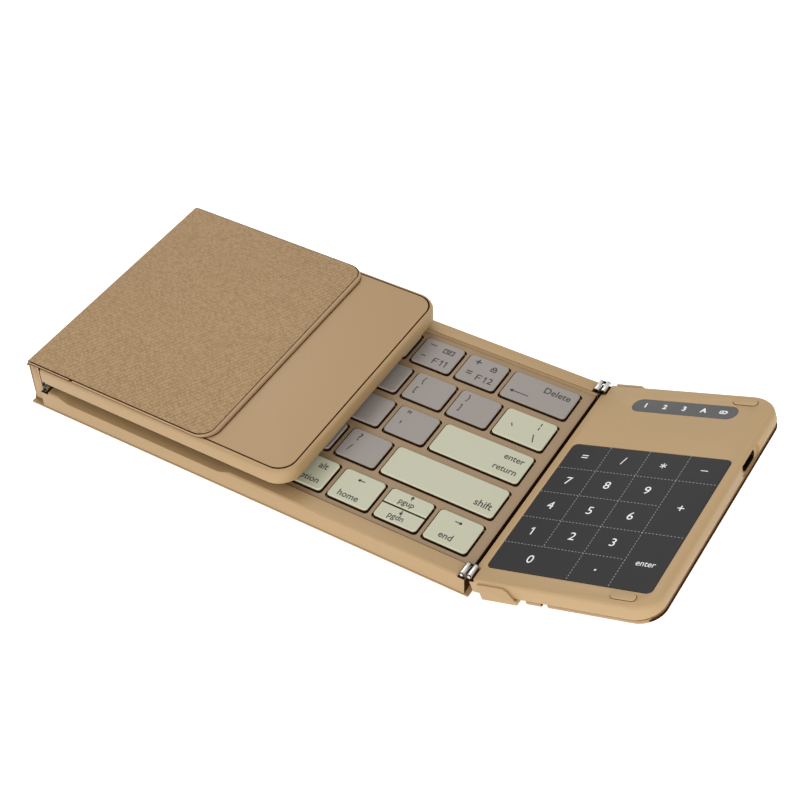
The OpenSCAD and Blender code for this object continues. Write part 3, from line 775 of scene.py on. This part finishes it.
def links(name, first, second, body, node):
    """End plates round two axes, seen as two short barrels and a bridge."""
    parts = []
    middle = (first + second) / 2
    run = second - first
    for side in (-1, 1):
        for y0 in (HINGE_IN, HINGE_OUT - LINK_T):
            near, far = side * y0, side * (y0 + LINK_T)
            for axis in (first, second):
                parts.append(rod(name, axis, near, far, LINK_R, LINK_EDGE))
            half = Vector((run.length / 2, LINK_T / 2, BRIDGE_HALF_H))
            bridge = block(name, -half, half)
            bridge.rotation_euler = (0, math.atan2(-run.z, run.x), 0)
            bridge.location = Vector((middle.x, (near + far) / 2, middle.z))
            settle(bridge)
            parts.append(bridge)
    steel(parts, name, body, node, link_steel)


left_a, left_b = axis_at["left_link_turn"], axis_at["left_panel_turn"]
right_a, right_b = axis_at["right_link_turn"], axis_at["right_panel_turn"]
barrels("middle_barrels", (left_a, right_a), "base", "base_hinge_knuckles")
barrels("left_barrels", (left_b,), "left_panel", "left_hinge_knuckles")
barrels("right_barrels", (right_b,), "right_panel", "right_hinge_knuckles")
links("left_link_plates", left_a, left_b, "left_link", "left_hinge_links")
links("right_link_plates", right_a, right_b, "right_link", "right_hinge_links")
print("distance of a hinge's axes in mm:", round((left_b - left_a).length / MM, 2))

# %% [markdown]
# ## Legends
# Letters and signs are printed, so they are thin flat shapes a hair above the key.
# Each is a text made into a mesh, placed by its share of the key's width and depth.
# Arrows and small pictures are built from bars.

# %% Legends
PRINT_LIFT = 0.015 * MM
PRINT_THICK = 0.01 * MM


def printed_text(name, words, place, height, align="CENTER", weight=0.011, narrow=0.9):
    bpy.ops.object.text_add(location=place)
    mark = bpy.context.object
    mark.name = name
    mark.data.body = words
    mark.data.size = height
    mark.data.align_x = align
    mark.data.align_y = "CENTER"
    mark.data.extrude = PRINT_THICK
    mark.data.offset = weight * height
    mark.data.resolution_u = 3
    mark.scale.x = narrow
    select_only(mark)
    bpy.ops.object.convert(target="MESH")
    mark = bpy.context.object
    settle(mark)
    return mark


def bar(name, start, end, width):
    """A printed stroke between two points of a flat surface."""
    run = end - start
    bpy.ops.mesh.primitive_plane_add(size=1, location=(start + end) / 2)
    stroke = bpy.context.object
    stroke.name = name
    stroke.scale = (run.length, width, 1)
    stroke.rotation_euler = (0, 0, math.atan2(run.y, run.x))
    settle(stroke)
    thicken(stroke, (0, 0, PRINT_THICK))
    return stroke


def spot_on(node, across, along, index=0):
    """A point on a key's top, `across` and `along` it from -1 to 1."""
    low, high = key_spot[node, index]
    middle = (low + high) / 2
    half = (high - low) / 2
    return Vector((middle.x + across * half.x, middle.y + along * half.y, high.z + PRINT_LIFT))


def strokes(name, lines, centre, width=0.40 * MM):
    """One piece of several bars, each given in millimetres from a centre."""
    parts = []
    for i, (x0, y0, x1, y1) in enumerate(lines):
        start = centre + Vector((x0, y0, 0)) * MM
        end = centre + Vector((x1, y1, 0)) * MM
        parts.append(bar(f"{name}_{i}", start, end, width))
    return join(parts, name)


ARROW_LEFT = [(-1.2, 0, 1.2, 0), (-1.25, 0, -0.45, 0.5), (-1.25, 0, -0.45, -0.5)]
LONG_ARROW_LEFT = [(-3.4, 0, 3.4, 0), (-3.45, 0, -2.3, 0.6), (-3.45, 0, -2.3, -0.6)]
ARROW_RIGHT = [(-1.2, 0, 1.2, 0), (1.25, 0, 0.45, 0.5), (1.25, 0, 0.45, -0.5)]
ARROW_UP = [(0, -0.8, 0, 0.8), (0, 0.85, 0.5, 0.1), (0, 0.85, -0.5, 0.1)]
ARROW_DOWN = [(0, -0.8, 0, 0.8), (0, -0.85, 0.5, -0.1), (0, -0.85, -0.5, -0.1)]
PADLOCK = [(-1.0, -1.1, 1.0, -1.1), (-1.0, 0.1, 1.0, 0.1), (-0.9, -1.1, -0.9, 0.1),
           (0.9, -1.1, 0.9, 0.1), (-0.6, 0.1, -0.6, 0.9), (0.6, 0.1, 0.6, 0.9),
           (-0.6, 1.0, 0.6, 1.0), (0, -0.75, 0, -0.25)]
SCREEN_KEYS = [(-2.1, -1.1, 2.1, -1.1), (-2.1, 0.8, 2.1, 0.8), (-1.9, -1.1, -1.9, 0.8),
               (1.9, -1.1, 1.9, 0.8), (-1.2, 0.15, 1.2, 0.15), (-0.7, -0.5, 0.7, -0.5)]
BROKEN_BAR = [(0, 0.3, 0, 1.7), (0, -1.7, 0, -0.3)]
BACK_BAR = [(-0.6, 1.7, 0.6, -1.7)]
GRAVE = [(-0.4, 0.7, 0.4, -0.7)]
DASH_SIGN = [(-1.3, 0, 1.3, 0)]
HYPHEN = [(-0.9, 0, 0.9, 0)]
ONE = [(0, -1.45, 0, 1.45), (0, 1.4, -0.75, 0.75)]
LETTER_F = [(-0.8, -1.45, -0.8, 1.45), (-0.8, 1.3, 0.9, 1.3), (-0.8, 0.05, 0.7, 0.05)]


def moved(lines, dx):
    """The same strokes, further right by dx."""
    return [(x0 + dx, y0, x1 + dx, y1) for x0, y0, x1, y1 in lines]


SIGN_F11 = moved(LETTER_F, -1.8) + moved(ONE, 0.6) + moved(ONE, 2.3)
SIGN_F1 = moved(LETTER_F, -2.2) + moved(ONE, 0.35)
SMALL_H = 3.3 * MM
TEXT_H = 3.7 * MM
SIGN_H = 4.1 * MM

# Key, words, how far across and along, height, and how they are aligned if not centred
WORDS = [
    ("key_equals", "2", 0.62, -0.47, SIGN_H),
    ("key_equals", "+", -0.45, 0.55, 5.2 * MM),
    ("key_equals", "=", -0.52, -0.36, 4.9 * MM),
    ("key_delete", "Delete", 0.84, 0.40, SIGN_H, "RIGHT"),
    ("key_bracket_left", "{", -0.52, 0.52, TEXT_H),
    ("key_bracket_left", "[", -0.58, -0.25, TEXT_H),
    ("key_bracket_right", "}", -0.52, 0.52, TEXT_H),
    ("key_bracket_right", "]", -0.58, -0.25, TEXT_H),
    ("key_quote", "\"", -0.48, 0.48, 5.2 * MM),
    ("key_quote", "'", -0.52, -0.35, 5.0 * MM),
    ("key_enter", "enter", 0.88, 0.42, TEXT_H, "RIGHT"),
    ("key_enter", "return", 0.88, -0.42, TEXT_H, "RIGHT"),
    ("key_slash", "?", -0.48, 0.48, 5.0 * MM),
    ("key_slash", "/", -0.55, -0.35, SIGN_H),
    ("key_shift", "shift", 0.91, -0.42, SIGN_H, "RIGHT"),
    ("key_option", "alt", 0.62, 0.48, TEXT_H, "RIGHT"),
    ("key_option", "option", 0.70, -0.50, TEXT_H, "RIGHT"),
    ("key_home", "home", -0.10, -0.60, TEXT_H),
    ("key_end", "end", -0.12, -0.50, TEXT_H),
    ("key_page_up", "pgup", -0.06, -0.30, SMALL_H),
    ("key_page_down", "pgdn", -0.06, -0.22, SMALL_H),
]

# Key, strokes, and how far across and along
PICTURES = [
    ("key_delete", LONG_ARROW_LEFT, -0.52, -0.42), ("key_home", ARROW_LEFT, -0.02, 0.55),
    ("key_end", ARROW_RIGHT, -0.02, 0.55), ("key_minus", SCREEN_KEYS, 0.36, 0.48),
    ("key_equals", PADLOCK, 0.42, 0.45), ("key_backslash", GRAVE, -0.50, -0.05),
    ("key_backslash", BROKEN_BAR, 0.45, 0.48), ("key_backslash", BACK_BAR, 0.48, -0.42),
    ("key_minus", SIGN_F11, 0.33, -0.48), ("key_equals", SIGN_F1, 0.33, -0.48),
    ("key_minus", DASH_SIGN, -0.50, 0.58), ("key_minus", HYPHEN, -0.60, -0.38),
    ("key_page_up", ARROW_UP, 0.02, 0.50), ("key_page_down", ARROW_DOWN, 0.02, 0.55),
]

for i, (node, words, across, along, height, *align) in enumerate(WORDS):
    place = spot_on(node, across, along)
    piece = printed_text(f"{node}_word_{i}", words, place, height, *align)
    fit(piece, dark_ink, node)
for i, (node, lines, across, along) in enumerate(PICTURES):
    centre = spot_on(node, across, along)
    piece = strokes(f"{node}_sign_{i}", lines, centre)
    fit(piece, dark_ink, node)

# Letters of the hidden middle keys, from left to right in each row; a heavier outline
# would break the M
LETTER_SPOT = (-0.38, 0.30)
LETTER_WEIGHT = 0.002
ROW_WORDS = {
    "base_keys_row_1": ["6", "7", "8", "9", "0"],
    "base_keys_row_2": ["T", "Y", "U", "I", "O", "P"],
    "base_keys_row_3": ["G", "H", "J", "K", "L", ";"],
    "base_keys_row_4": ["B", "N", "M", ",", "."],
}
for node, letters in ROW_WORDS.items():
    for i, letter in enumerate(letters):
        place = spot_on(node, *LETTER_SPOT, i)
        piece = printed_text(f"{node}_letter_{i}", letter, place, SIGN_H, weight=LETTER_WEIGHT)
        fit(piece, dark_ink, node)

# Words of the folded panel's keys, from the hinge outwards; they face down
LEFT_WORDS = {
    "left_keys_row_1": ["5", "4", "3", "2", "1", "esc"],
    "left_keys_row_2": ["R", "E", "W", "Q", "tab"],
    "left_keys_row_3": ["F", "D", "S", "A", "caps"],
    "left_keys_row_4": ["V", "C", "X", "Z", "shift"],
    "left_keys_row_5": ["cmd", "alt", "opt", "ctrl", "fn"],
}
LETTER_ACROSS = 0.38
LEFT_ALONG = 0.25
for node, letters in LEFT_WORDS.items():
    for i, letter in enumerate(letters):
        low, high = key_spot[node, i]
        height = SIGN_H if len(letter) == 1 else SMALL_H
        across = LETTER_ACROSS if len(letter) == 1 else 0.0
        piece = printed_text(f"{node}_letter_{i}", letter, (0, 0, PRINT_LIFT), height)
        middle = (low + high) / 2
        half = (high - low) / 2
        piece.rotation_euler = (0, math.radians(180), 0)
        piece.location = (middle.x + across * half.x, middle.y + LEFT_ALONG * half.y, low.z)
        settle(piece)
        fit(piece, dark_ink, node)
print("words and pictures:", len(WORDS) + len(PICTURES))

# %% [markdown]
# ## Number pad
# The pad is one touch surface with white figures and a grid of fine dashes. The print
# is laid flat on the panel's own plane and then tilted with it.

# %% The right panel's own plane
# Its tilt at rest, its axis's distance inside its wall and above its face, and half its
# depth
TILT = math.radians(20.4)
RIGHT_IN = 0.3 * MM
AXIS_UP = 0.7 * MM
HALF_DEPTH = 49.0 * MM
panel_place = (
    Matrix.Translation(right_b)
    @ Matrix.Rotation(-TILT, 4, "Y")
    @ Matrix.Translation((-RIGHT_IN, -HALF_DEPTH, -AXIS_UP))
)
print("panel plane at:", [round(v / MM, 1) for v in panel_place.translation])


def onto_panel(piece):
    """Move a piece from the panel's own flat plane to where the panel is."""
    piece.matrix_world = panel_place @ piece.matrix_world
    settle(piece)


def print_panel(piece, ink=white_ink):
    """Lay a mark that is drawn flat on the right panel."""
    onto_panel(piece)
    fit(piece, ink, "right_panel")


# %% Pad print
PAD_X = 2.8 * MM
PAD_Y = 6.1 * MM
PAD_W = 56.8 * MM
PAD_D = 60.3 * MM
COLUMNS = 4
ROWS = 5
DASH = 0.62 * MM
DASH_STEP = 1.2 * MM
DASH_W = 0.20 * MM
DASH_START = 0.2


def pad_point(column, row):
    """A point of the pad's grid; column runs right, row runs down from the back edge."""
    x = PAD_X + PAD_W * column / COLUMNS
    y = PAD_Y + PAD_D * (1 - row / ROWS)
    return Vector((x, y, PRINT_LIFT))


def dashed(name, start, end):
    """A row of dashes, one dash repeated along the line."""
    run = end - start
    count = int(run.length / DASH_STEP)
    step = run.normalized() * DASH_STEP
    begin = start + step * DASH_START
    first = bar(name, begin, begin + run.normalized() * DASH, DASH_W)
    select_only(first)
    array = first.modifiers.new("dashes", "ARRAY")
    array.use_relative_offset = False
    array.use_constant_offset = True
    array.constant_offset_displace = step
    array.count = count
    bpy.ops.object.modifier_apply(modifier=array.name)
    return first


# Lines of the grid, from and to these columns and rows
GRID = [
    ((1, 0), (1, 4)), ((2, 0), (2, 5)), ((3, 0), (3, 5)),
    ((0, 1), (4, 1)), ((0, 2), (3, 2)), ((0, 3), (4, 3)), ((0, 4), (3, 4)),
]
grid_lines = []
for i, (a, b) in enumerate(GRID):
    grid_lines.append(dashed(f"pad_dashes_{i}", pad_point(*a), pad_point(*b)))
print_panel(join(grid_lines, "pad_grid"), grey_ink)

FIGURE_H = 4.8 * MM
FIGURES = [
    ("=", 0.5, 0.5), ("/", 1.5, 0.5), ("–", 3.5, 0.5),
    ("7", 0.5, 1.5), ("8", 1.5, 1.5), ("9", 2.5, 1.5), ("+", 3.5, 2.0),
    ("4", 0.5, 2.5), ("5", 1.5, 2.5), ("6", 2.5, 2.5),
    ("2", 1.5, 3.5), ("3", 2.5, 3.5),
    ("0", 0.9, 4.5),
]
for i, (words, column, row) in enumerate(FIGURES):
    place = pad_point(column, row)
    print_panel(printed_text(f"pad_figure_{i}", words, place, FIGURE_H, weight=0.0, narrow=1.0))
ONE_GROWTH = 1.15
PAD_ONE = [tuple(ONE_GROWTH * v for v in line) for line in ONE]
STAR = [(0, -1.15, 0, 1.15), (-1.0, -0.58, 1.0, 0.58), (-1.0, 0.58, 1.0, -0.58)]
POINT = [(-0.32, 0, 0.32, 0)]

# Word, strokes, column, row and width of the strokes in millimetres
PAD_SIGNS = [
    ("one", PAD_ONE, 0.5, 3.5, 0.42),
    ("star", STAR, 2.5, 0.5, 0.34),
    ("point", POINT, 2.5, 4.5, 0.62),
]
for word, lines, column, row, width in PAD_SIGNS:
    print_panel(strokes(f"pad_{word}", lines, pad_point(column, row), width * MM))
print_panel(printed_text("pad_enter", "enter", pad_point(3.5, 4.05), SMALL_H, weight=0.0))
print("pad marks:", len(FIGURES) + len(PAD_SIGNS) + 1)

# %% [markdown]
# ## Status window
# A long grey window behind the pad carries five small marks: three channel numbers, a
# letter and a battery.

# %% Status marks
WINDOW_X = 13.8 * MM
WINDOW_Y = 85.3 * MM
WINDOW_W = 37.8 * MM
WINDOW_D = 6.6 * MM
MARK_H = 3.0 * MM
MARK_STEPS = 5.4
FIRST_MARK = 0.7
mark_step = WINDOW_W / MARK_STEPS
mark_start = Vector((WINDOW_X + FIRST_MARK * mark_step, WINDOW_Y + WINDOW_D / 2, PRINT_LIFT))
for i, words in enumerate(["1", "2", "3", "A"]):
    place = mark_start + Vector((i * mark_step, 0, 0))
    piece = printed_text(f"status_mark_{i}", words, place, MARK_H, weight=0.03, narrow=1.0)
    print_panel(piece)
BATTERY_SIGN = [(-1.2, -0.6, 1.0, -0.6), (-1.2, 0.6, 1.0, 0.6), (-1.2, -0.6, -1.2, 0.6),
                (1.0, -0.6, 1.0, 0.6), (1.35, -0.2, 1.35, 0.2), (-0.7, 0, 0.1, 0)]
place = mark_start + Vector((4 * mark_step, 0, 0))
piece = strokes("battery_sign", BATTERY_SIGN, place)
print_panel(piece)
print("status marks end with", piece.name)

# %% [markdown]
# ## Cover
# The cover is board with a smooth border, and its thin sides are painted dark as shade.
# One sheet of cloth lies over the strip and the stand flap, with a thin line of painted
# shade round it. The sheet and its shade line are cut into narrow rows where the flap folds.

# %% Boards of the cover
FLAP_MORE = 1.0 * MM
FLAP_CORNER = 6.5 * MM
FLAP_EDGE = 0.5 * MM
STRIP_EDGE = 0.3 * MM
STRIP_DROP = 0.2 * MM
UNDER = 0.3 * MM
UNDER_INSET = 0.08 * MM
UNDER_MORE = 0.12 * MM
UNDER_EDGE = 0.03 * MM
HAIR = 0.05 * MM
FOLD_ROWS = 6
RIGHT = Vector((1, 0, 0))
strip_low, strip_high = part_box("cover_strip")
flap_low, flap_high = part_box("flap_board")
spine_low, spine_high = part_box("spine_skin")
top = flap_high.z
slit = flap_low.x - strip_high.x
rows = [strip_high.x + slit * i / FOLD_ROWS for i in range(FOLD_ROWS + 1)]


def cornered(name, low, high, corner, edge, segments=3):
    """A board whose two far corners are round, and whose top edge is softened."""
    board = block(name, low, high)
    edges_where(board, lambda a, b: abs(a.z - b.z) > 0 and min(a.x, b.x) > high.x - SAME)
    bevel_selected(corner, 12)
    edges_where(board, lambda a, b: min(a.z, b.z) > high.z - SAME and max(a.x, b.x) > low.x + SAME)
    bevel_selected(edge, segments)
    bpy.ops.object.shade_smooth_by_angle(angle=SHARP)
    return board


def cover_sheet(piece, material):
    """A sheet cut into rows across the fold line of the flap."""
    cut_rows(piece, RIGHT, rows)
    dress(piece, material)
    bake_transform(piece)


def under_box(low, high, more=0.0):
    """The two corners of a board's underside, which is a little narrower."""
    inset = Vector((0, UNDER_INSET, 0))
    bottom = Vector((low.x, low.y, strip_low.z - HAIR)) + inset
    return bottom, Vector((high.x + more, high.y, flap_low.z + UNDER)) - inset


board_top = top - HAIR
flap_end = Vector((flap_high.x + FLAP_MORE, flap_high.y, board_top))
up_a_bit = Vector((0, 0, UNDER))
flap = cornered("flap_border", flap_low + up_a_bit, flap_end, FLAP_CORNER, FLAP_EDGE, 5)
fit(flap, border_leather, "stand_flap")
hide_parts("flap_board")
strip_top = Vector((strip_high.x, strip_high.y, board_top - STRIP_DROP))
strip = slab("strip_board", strip_low + up_a_bit, strip_top, STRIP_EDGE)
fit(strip, border_leather, "cover_strip")
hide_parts("cover_strip")
low, high = under_box(flap_low, flap_end, UNDER_MORE)
flap_under = cornered("flap_underside", low, high, FLAP_CORNER, UNDER_EDGE, 1)
strip_under = block("strip_underside", *under_box(strip_low, strip_high))
# The sides of the undersides are painted shade; their bottoms have the border's colour.
for piece, body in ((flap_under, "stand_flap"), (strip_under, "cover_strip")):
    fit(piece, painted_shade_dark, body)
    repaint(piece, border_leather, lambda face: face.normal.z < -0.5)
print("cover boards: stand flap and strip, fold slit in mm:", round(slit / MM, 2))

# %% Cloth sheet and its painted shade line
FOLD_X = strip_low.x + 1.0 * MM
BORDER = 1.5 * MM
SIDE_BORDER = 0.35 * MM
CLOTH_DEPTH = 0.35 * MM
CLOTH_RISE = 0.02 * MM
CLOTH_EDGE = 0.15 * MM
CLOTH_CORNER = FLAP_CORNER - 1.1 * MM
SHADE_LINE_W = 0.28 * MM
sheet_low = Vector((FOLD_X, -strip_high.y + SIDE_BORDER, top - CLOTH_DEPTH))
sheet_high = Vector((flap_end.x - BORDER, strip_high.y - SIDE_BORDER, top + CLOTH_RISE))
cloth = cornered("cover_cloth_sheet", sheet_low, sheet_high, CLOTH_CORNER, CLOTH_EDGE)
cover_sheet(cloth, cover_cloth)
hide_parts("flap_fabric")
# A dark sheet a little wider than the cloth shows round it as a line of painted shade.
wider = Vector((SHADE_LINE_W, SHADE_LINE_W, -HAIR))
shade_line_low = Vector((FOLD_X, sheet_low.y - SHADE_LINE_W, sheet_low.z))
shade_line = cornered("cloth_shade_line", shade_line_low, sheet_high + wider, CLOTH_CORNER, HAIR, 1)
cover_sheet(shade_line, painted_shade_dark)

# A dark block of painted shade closes the slit from below: how far past the slit it reaches, how
# far inside the cover's sides it ends, and its lower and upper face above the strip's
PAST_SLIT = 0.6 * MM
FOLD_SHADE_INSET = 0.3 * MM
FOLD_SHADE_BOTTOM = 0.25 * MM
FOLD_SHADE_TOP = 0.45 * MM
fold_shade_y = strip_high.y - FOLD_SHADE_INSET
low = Vector((strip_high.x - PAST_SLIT, -fold_shade_y, strip_low.z + FOLD_SHADE_BOTTOM))
high = Vector((flap_low.x + PAST_SLIT, fold_shade_y, strip_low.z + FOLD_SHADE_TOP))
cover_sheet(block("flap_fold_shade", low, high), painted_shade_dark)
print("faces of the cloth sheet:", len(cloth.data.polygons))

# %% [markdown]
# ## Folds of the spine
# The same cloth turns down over the spine, and at the bottom it bulges out a little
# and joins the sheet under the keyboard. Both turns are drawn as a row of points with
# a thickness.


# %% Spine cloth and its folds
def bent_sheet(name, path, thickness, half_y):
    """A sheet along Y whose outer face follows points of the XZ plane."""
    outer = [Vector((x, 0, z)) * MM for x, z in path]
    inner = []
    for i, point in enumerate(outer):
        before = outer[max(i - 1, 0)]
        after = outer[min(i + 1, len(outer) - 1)]
        run = (after - before).normalized()
        inner.append(point + Vector((run.z, 0, -run.x)) * thickness)
    ring = outer + inner[::-1]
    bpy.ops.mesh.primitive_circle_add(vertices=len(ring), fill_type="NGON")
    sheet = bpy.context.object
    sheet.name = name
    for corner, point in zip(sheet.data.vertices, ring):
        corner.co = point + Vector((0, -half_y, 0))
    thicken(sheet, (0, 2 * half_y, 0))
    bpy.ops.object.shade_smooth_by_angle(angle=math.radians(50))
    return sheet


# Paths are in millimetres: from the straight cloth up, leaning in, and round the edge
SKIN_T = 0.3 * MM
HIGH_TURN = 17.4
LEAN = 0.9
TURN_R = 0.45
TURN_STEPS = 8
skin_x = spine_low.x / MM
top_z = top / MM
spine_end = Vector((spine_high.x, spine_high.y, HIGH_TURN * MM))
spine_cloth = block("spine_cloth", spine_low, spine_end)
fit(spine_cloth, cover_cloth, "cover_spine")
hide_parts("spine_skin")

turn_x = skin_x + LEAN + TURN_R
upper_path = [(skin_x, HIGH_TURN), (skin_x + 0.1, 18.0), (skin_x + 0.4, 18.7), (skin_x + 0.7, 19.3)]
for i in range(TURN_STEPS + 1):
    a = math.radians(180 - 90 * i / TURN_STEPS)
    upper_path.append((turn_x + TURN_R * math.cos(a), top_z - TURN_R + TURN_R * math.sin(a)))
upper_path.append((FOLD_X / MM, top_z))
upper = bent_sheet("upper_fold", upper_path, SKIN_T, sheet_high.y)
dress(upper, cover_cloth)
# The cut ends of the fold are painted shade.
repaint(upper, painted_shade_dark, lambda face: abs(face.normal.y) > 0.9)
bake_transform(upper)

lower_path = [(-88.6, 0.72), (-88.62, 1.2), (-88.5, 1.8), (-88.25, 2.5), (-88.0, 3.2),
              (skin_x, 3.8), (skin_x, spine_low.z / MM)]
lower = bent_sheet("lower_fold", lower_path, SKIN_T, spine_high.y)
dress(lower, cover_cloth)
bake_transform(lower)
print("points of the folds:", len(upper_path), "and", len(lower_path))

# %% [markdown]
# ## Feet and painted shade
# The two end blocks of the spine reach down almost to the sheet. Narrow gaps look
# nearly black: over the end blocks, beside them, between the middle and the right
# panel, and in the hinge pockets. Thin dark blocks are painted shade there.


# %% Feet and painted shade blocks
def shade_block(name, low, high, body):
    """A dark block of painted shade between two corners; the right panel's are given on its own
    plane.
    """
    piece = block(name, Vector(low) * MM, Vector(high) * MM)
    if body == "right_panel":
        piece.location = (0, HALF_DEPTH, 0)
        settle(piece)
        onto_panel(piece)
    fit(piece, painted_shade_dark, body)


# In millimetres; what lies along Y is measured from the middle of the keyboard
END_BLOCK_Y = (42.5, 47.5)
END_BLOCK_TOP = 18.25
SHADE_INSET = 0.05
FOOT_LOW = (-87.6, 1.9)
FOOT_HIGH = (-83.8, 4.7)
FOOT_EDGE = 0.15 * MM
POCKET_Y = (43.45, 48.95)
RIM_SHADE_Y = (43.42, 43.62)
RIM_SHADE_X = 83.2
RIM_SHADE_Z = (8.3, 8.515)
LONG_SHADE_Y = 43.2

# Painted shade at a hinge: name, low and high corner in X and Z, and body
POCKET_SHADES = [
    ("pocket_right", (80.95, 7.6), (83.45, 7.7), "base"),
    ("pocket_left", (-83.45, 7.6), (-80.2, 7.7), "base"),
    ("pocket_folded", (-81.65, 13.3), (-80.2, 13.4), "left_panel"),
    ("pocket_panel", (0.05, -0.9), (1.75, -0.8), "right_panel"),
    ("tray_end", (83.5, 1.2), (83.54, 7.4), "base"),
    ("pocket_step", (80.9, 7.6), (80.95, 8.35), "base"),
    ("pocket_end", (1.75, -0.9), (1.8, -0.15), "right_panel"),
]


def span(side, pair):
    """Both ends along Y of what lies at the front (-1) or at the back (1)."""
    return sorted((side * pair[0], side * pair[1]))


def corners(low, high, near, far):
    """Low and high corner of a box, from its corners in X and Z and its ends along Y."""
    return Vector((low[0], near, low[1])), Vector((high[0], far, high[1]))


for side, word in ((-1, "front"), (1, "back")):
    near, far = span(side, END_BLOCK_Y)
    low, high = corners(FOOT_LOW, FOOT_HIGH, near, far)
    foot = slab(f"spine_foot_{word}", low * MM, high * MM, FOOT_EDGE)
    fit(foot, tan_plastic, "cover_spine")
    # Dark blocks over and beside each end block are painted shade.
    low, high = corners((-87.4, END_BLOCK_TOP), (-83.9, 18.85), near + SHADE_INSET, far - SHADE_INSET)
    shade_block(f"end_block_top_{word}", low, high, "cover_spine")
    low, high = corners((-83.8, 2.2), (-83.75, 18.2), near, far - side * SHADE_INSET)
    shade_block(f"end_block_felt_{word}", low, high, "cover_spine")
    near, far = span(side, POCKET_Y)
    for name, low, high, body in POCKET_SHADES:
        shade_block(f"{name}_{word}", *corners(low, high, near, far), body)
    # A thin brown line on the rim's inner edge is painted shade.
    near, far = span(side, RIM_SHADE_Y)
    low, high = corners((-RIM_SHADE_X, RIM_SHADE_Z[0]), (RIM_SHADE_X, RIM_SHADE_Z[1]), near, far)
    fit(block(f"rim_shade_line_{word}", low * MM, high * MM), painted_shade_brown, "base")
# Dark strips on the ends that face the gap between the middle and the right panel are painted
# shade.
shade_block("tray_end_shade", (83.5, -LONG_SHADE_Y, 4.0), (83.54, LONG_SHADE_Y, 8.3), "base")
shade_block("panel_end_shade", (-0.04, -LONG_SHADE_Y, -5.0), (0, LONG_SHADE_Y, -0.2), "right_panel")
print("linings at each hinge:", len(POCKET_SHADES))

# %% [markdown]
# ## Last touches on the shells
# The far edges of the right panel's plate and leaves are painted as shade, the spine's
# block ends under its dark blocks and leans in with the cloth, and a thin dark outline of
# painted shade shows round each bumper and round the folded panel's plate.

# %% Painted shade on far edges, spine block and painted shade outlines
LEAN_FROM = 17 * MM
LEAN_TO = -87.2 * MM
HALO = 0.22
HALO_SINK = 0.39
OUTLINE_START = -60 * MM
OUTLINE_MORE = 0.8 * MM
OUTLINE_LIFT = 0.012 * MM
PLATE_LIFT = 0.02 * MM
outward = (panel_place.to_3x3() @ RIGHT).normalized()
panel_up = (panel_place.to_3x3() @ UP).normalized()
# The far edges, which face away from the lamps, are painted shade.
for name in ("under_leaves", "right_plate"):
    piece = bpy.data.objects[name]
    repaint(piece, painted_shade_dark, lambda face: face.normal.dot(outward) > 0.6 and face.center.x > 0.1)

for corner in bpy.data.objects["spine_block"].data.vertices:
    corner.co.z = min(corner.co.z, END_BLOCK_TOP * MM)
    if corner.co.z > LEAN_FROM:
        corner.co.x = max(corner.co.x, LEAN_TO)

# A dark copy a little larger than the bumpers shows round each as a ring of painted shade.
halo = new_copy("bumper_pads", "bumper_shade_ring")
merge_faces(halo)
edit_all(halo)
bpy.ops.transform.shrink_fatten(value=HALO * MM, use_even_offset=True)
leave_edit()
for corner in halo.data.vertices:
    corner.co -= panel_up * (HALO + HALO_SINK) * MM
fit(halo, painted_shade_brown, "right_panel")

plate_low, plate_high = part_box("left_back_plate")
# A dark copy a little larger than the folded panel's plate shows round it as a line of painted
# shade.
plate_shade = new_copy("left_back_plate", "plate_shade_outline")
merge_faces(plate_shade)
middle = (plate_low + plate_high) / 2
grown = plate_high - plate_low + Vector((OUTLINE_MORE, OUTLINE_MORE, 0))
for corner in plate_shade.data.vertices:
    for i in range(2):
        share = (corner.co[i] - middle[i]) / (plate_high[i] - plate_low[i])
        corner.co[i] = middle[i] + share * grown[i]
    corner.co.x = max(corner.co.x, OUTLINE_START)
    corner.co.z += OUTLINE_LIFT
for corner in bpy.data.objects["left_plate"].data.vertices:
    corner.co.z += PLATE_LIFT
fit(plate_shade, painted_shade_dark, "left_panel")
print("outlines:", halo.name, "and", plate_shade.name)

# %% [markdown]
# ## What lies inside
# The remaining solids keep their shape and get the finish of what they are.

# %% Carried-over solids
FINISH = {
    "base_floor_plate": plate_steel, "base_screws": hinge_steel,
    "base_circuit_board": green_board, "left_circuit_board": green_board,
    "touch_board": green_board, "main_board": green_board,
    "base_dome_sheet": dome_rubber, "left_dome_sheet": dome_rubber,
    "left_hinge_pins": hinge_steel, "right_hinge_pins": hinge_steel,
    "flap_magnets": hinge_steel, "battery": pouch_foil, "charging_socket": socket_metal,
}
for node, material in FINISH.items():
    dress(nodes[node], material)
print("solids carried over:", len(FINISH))
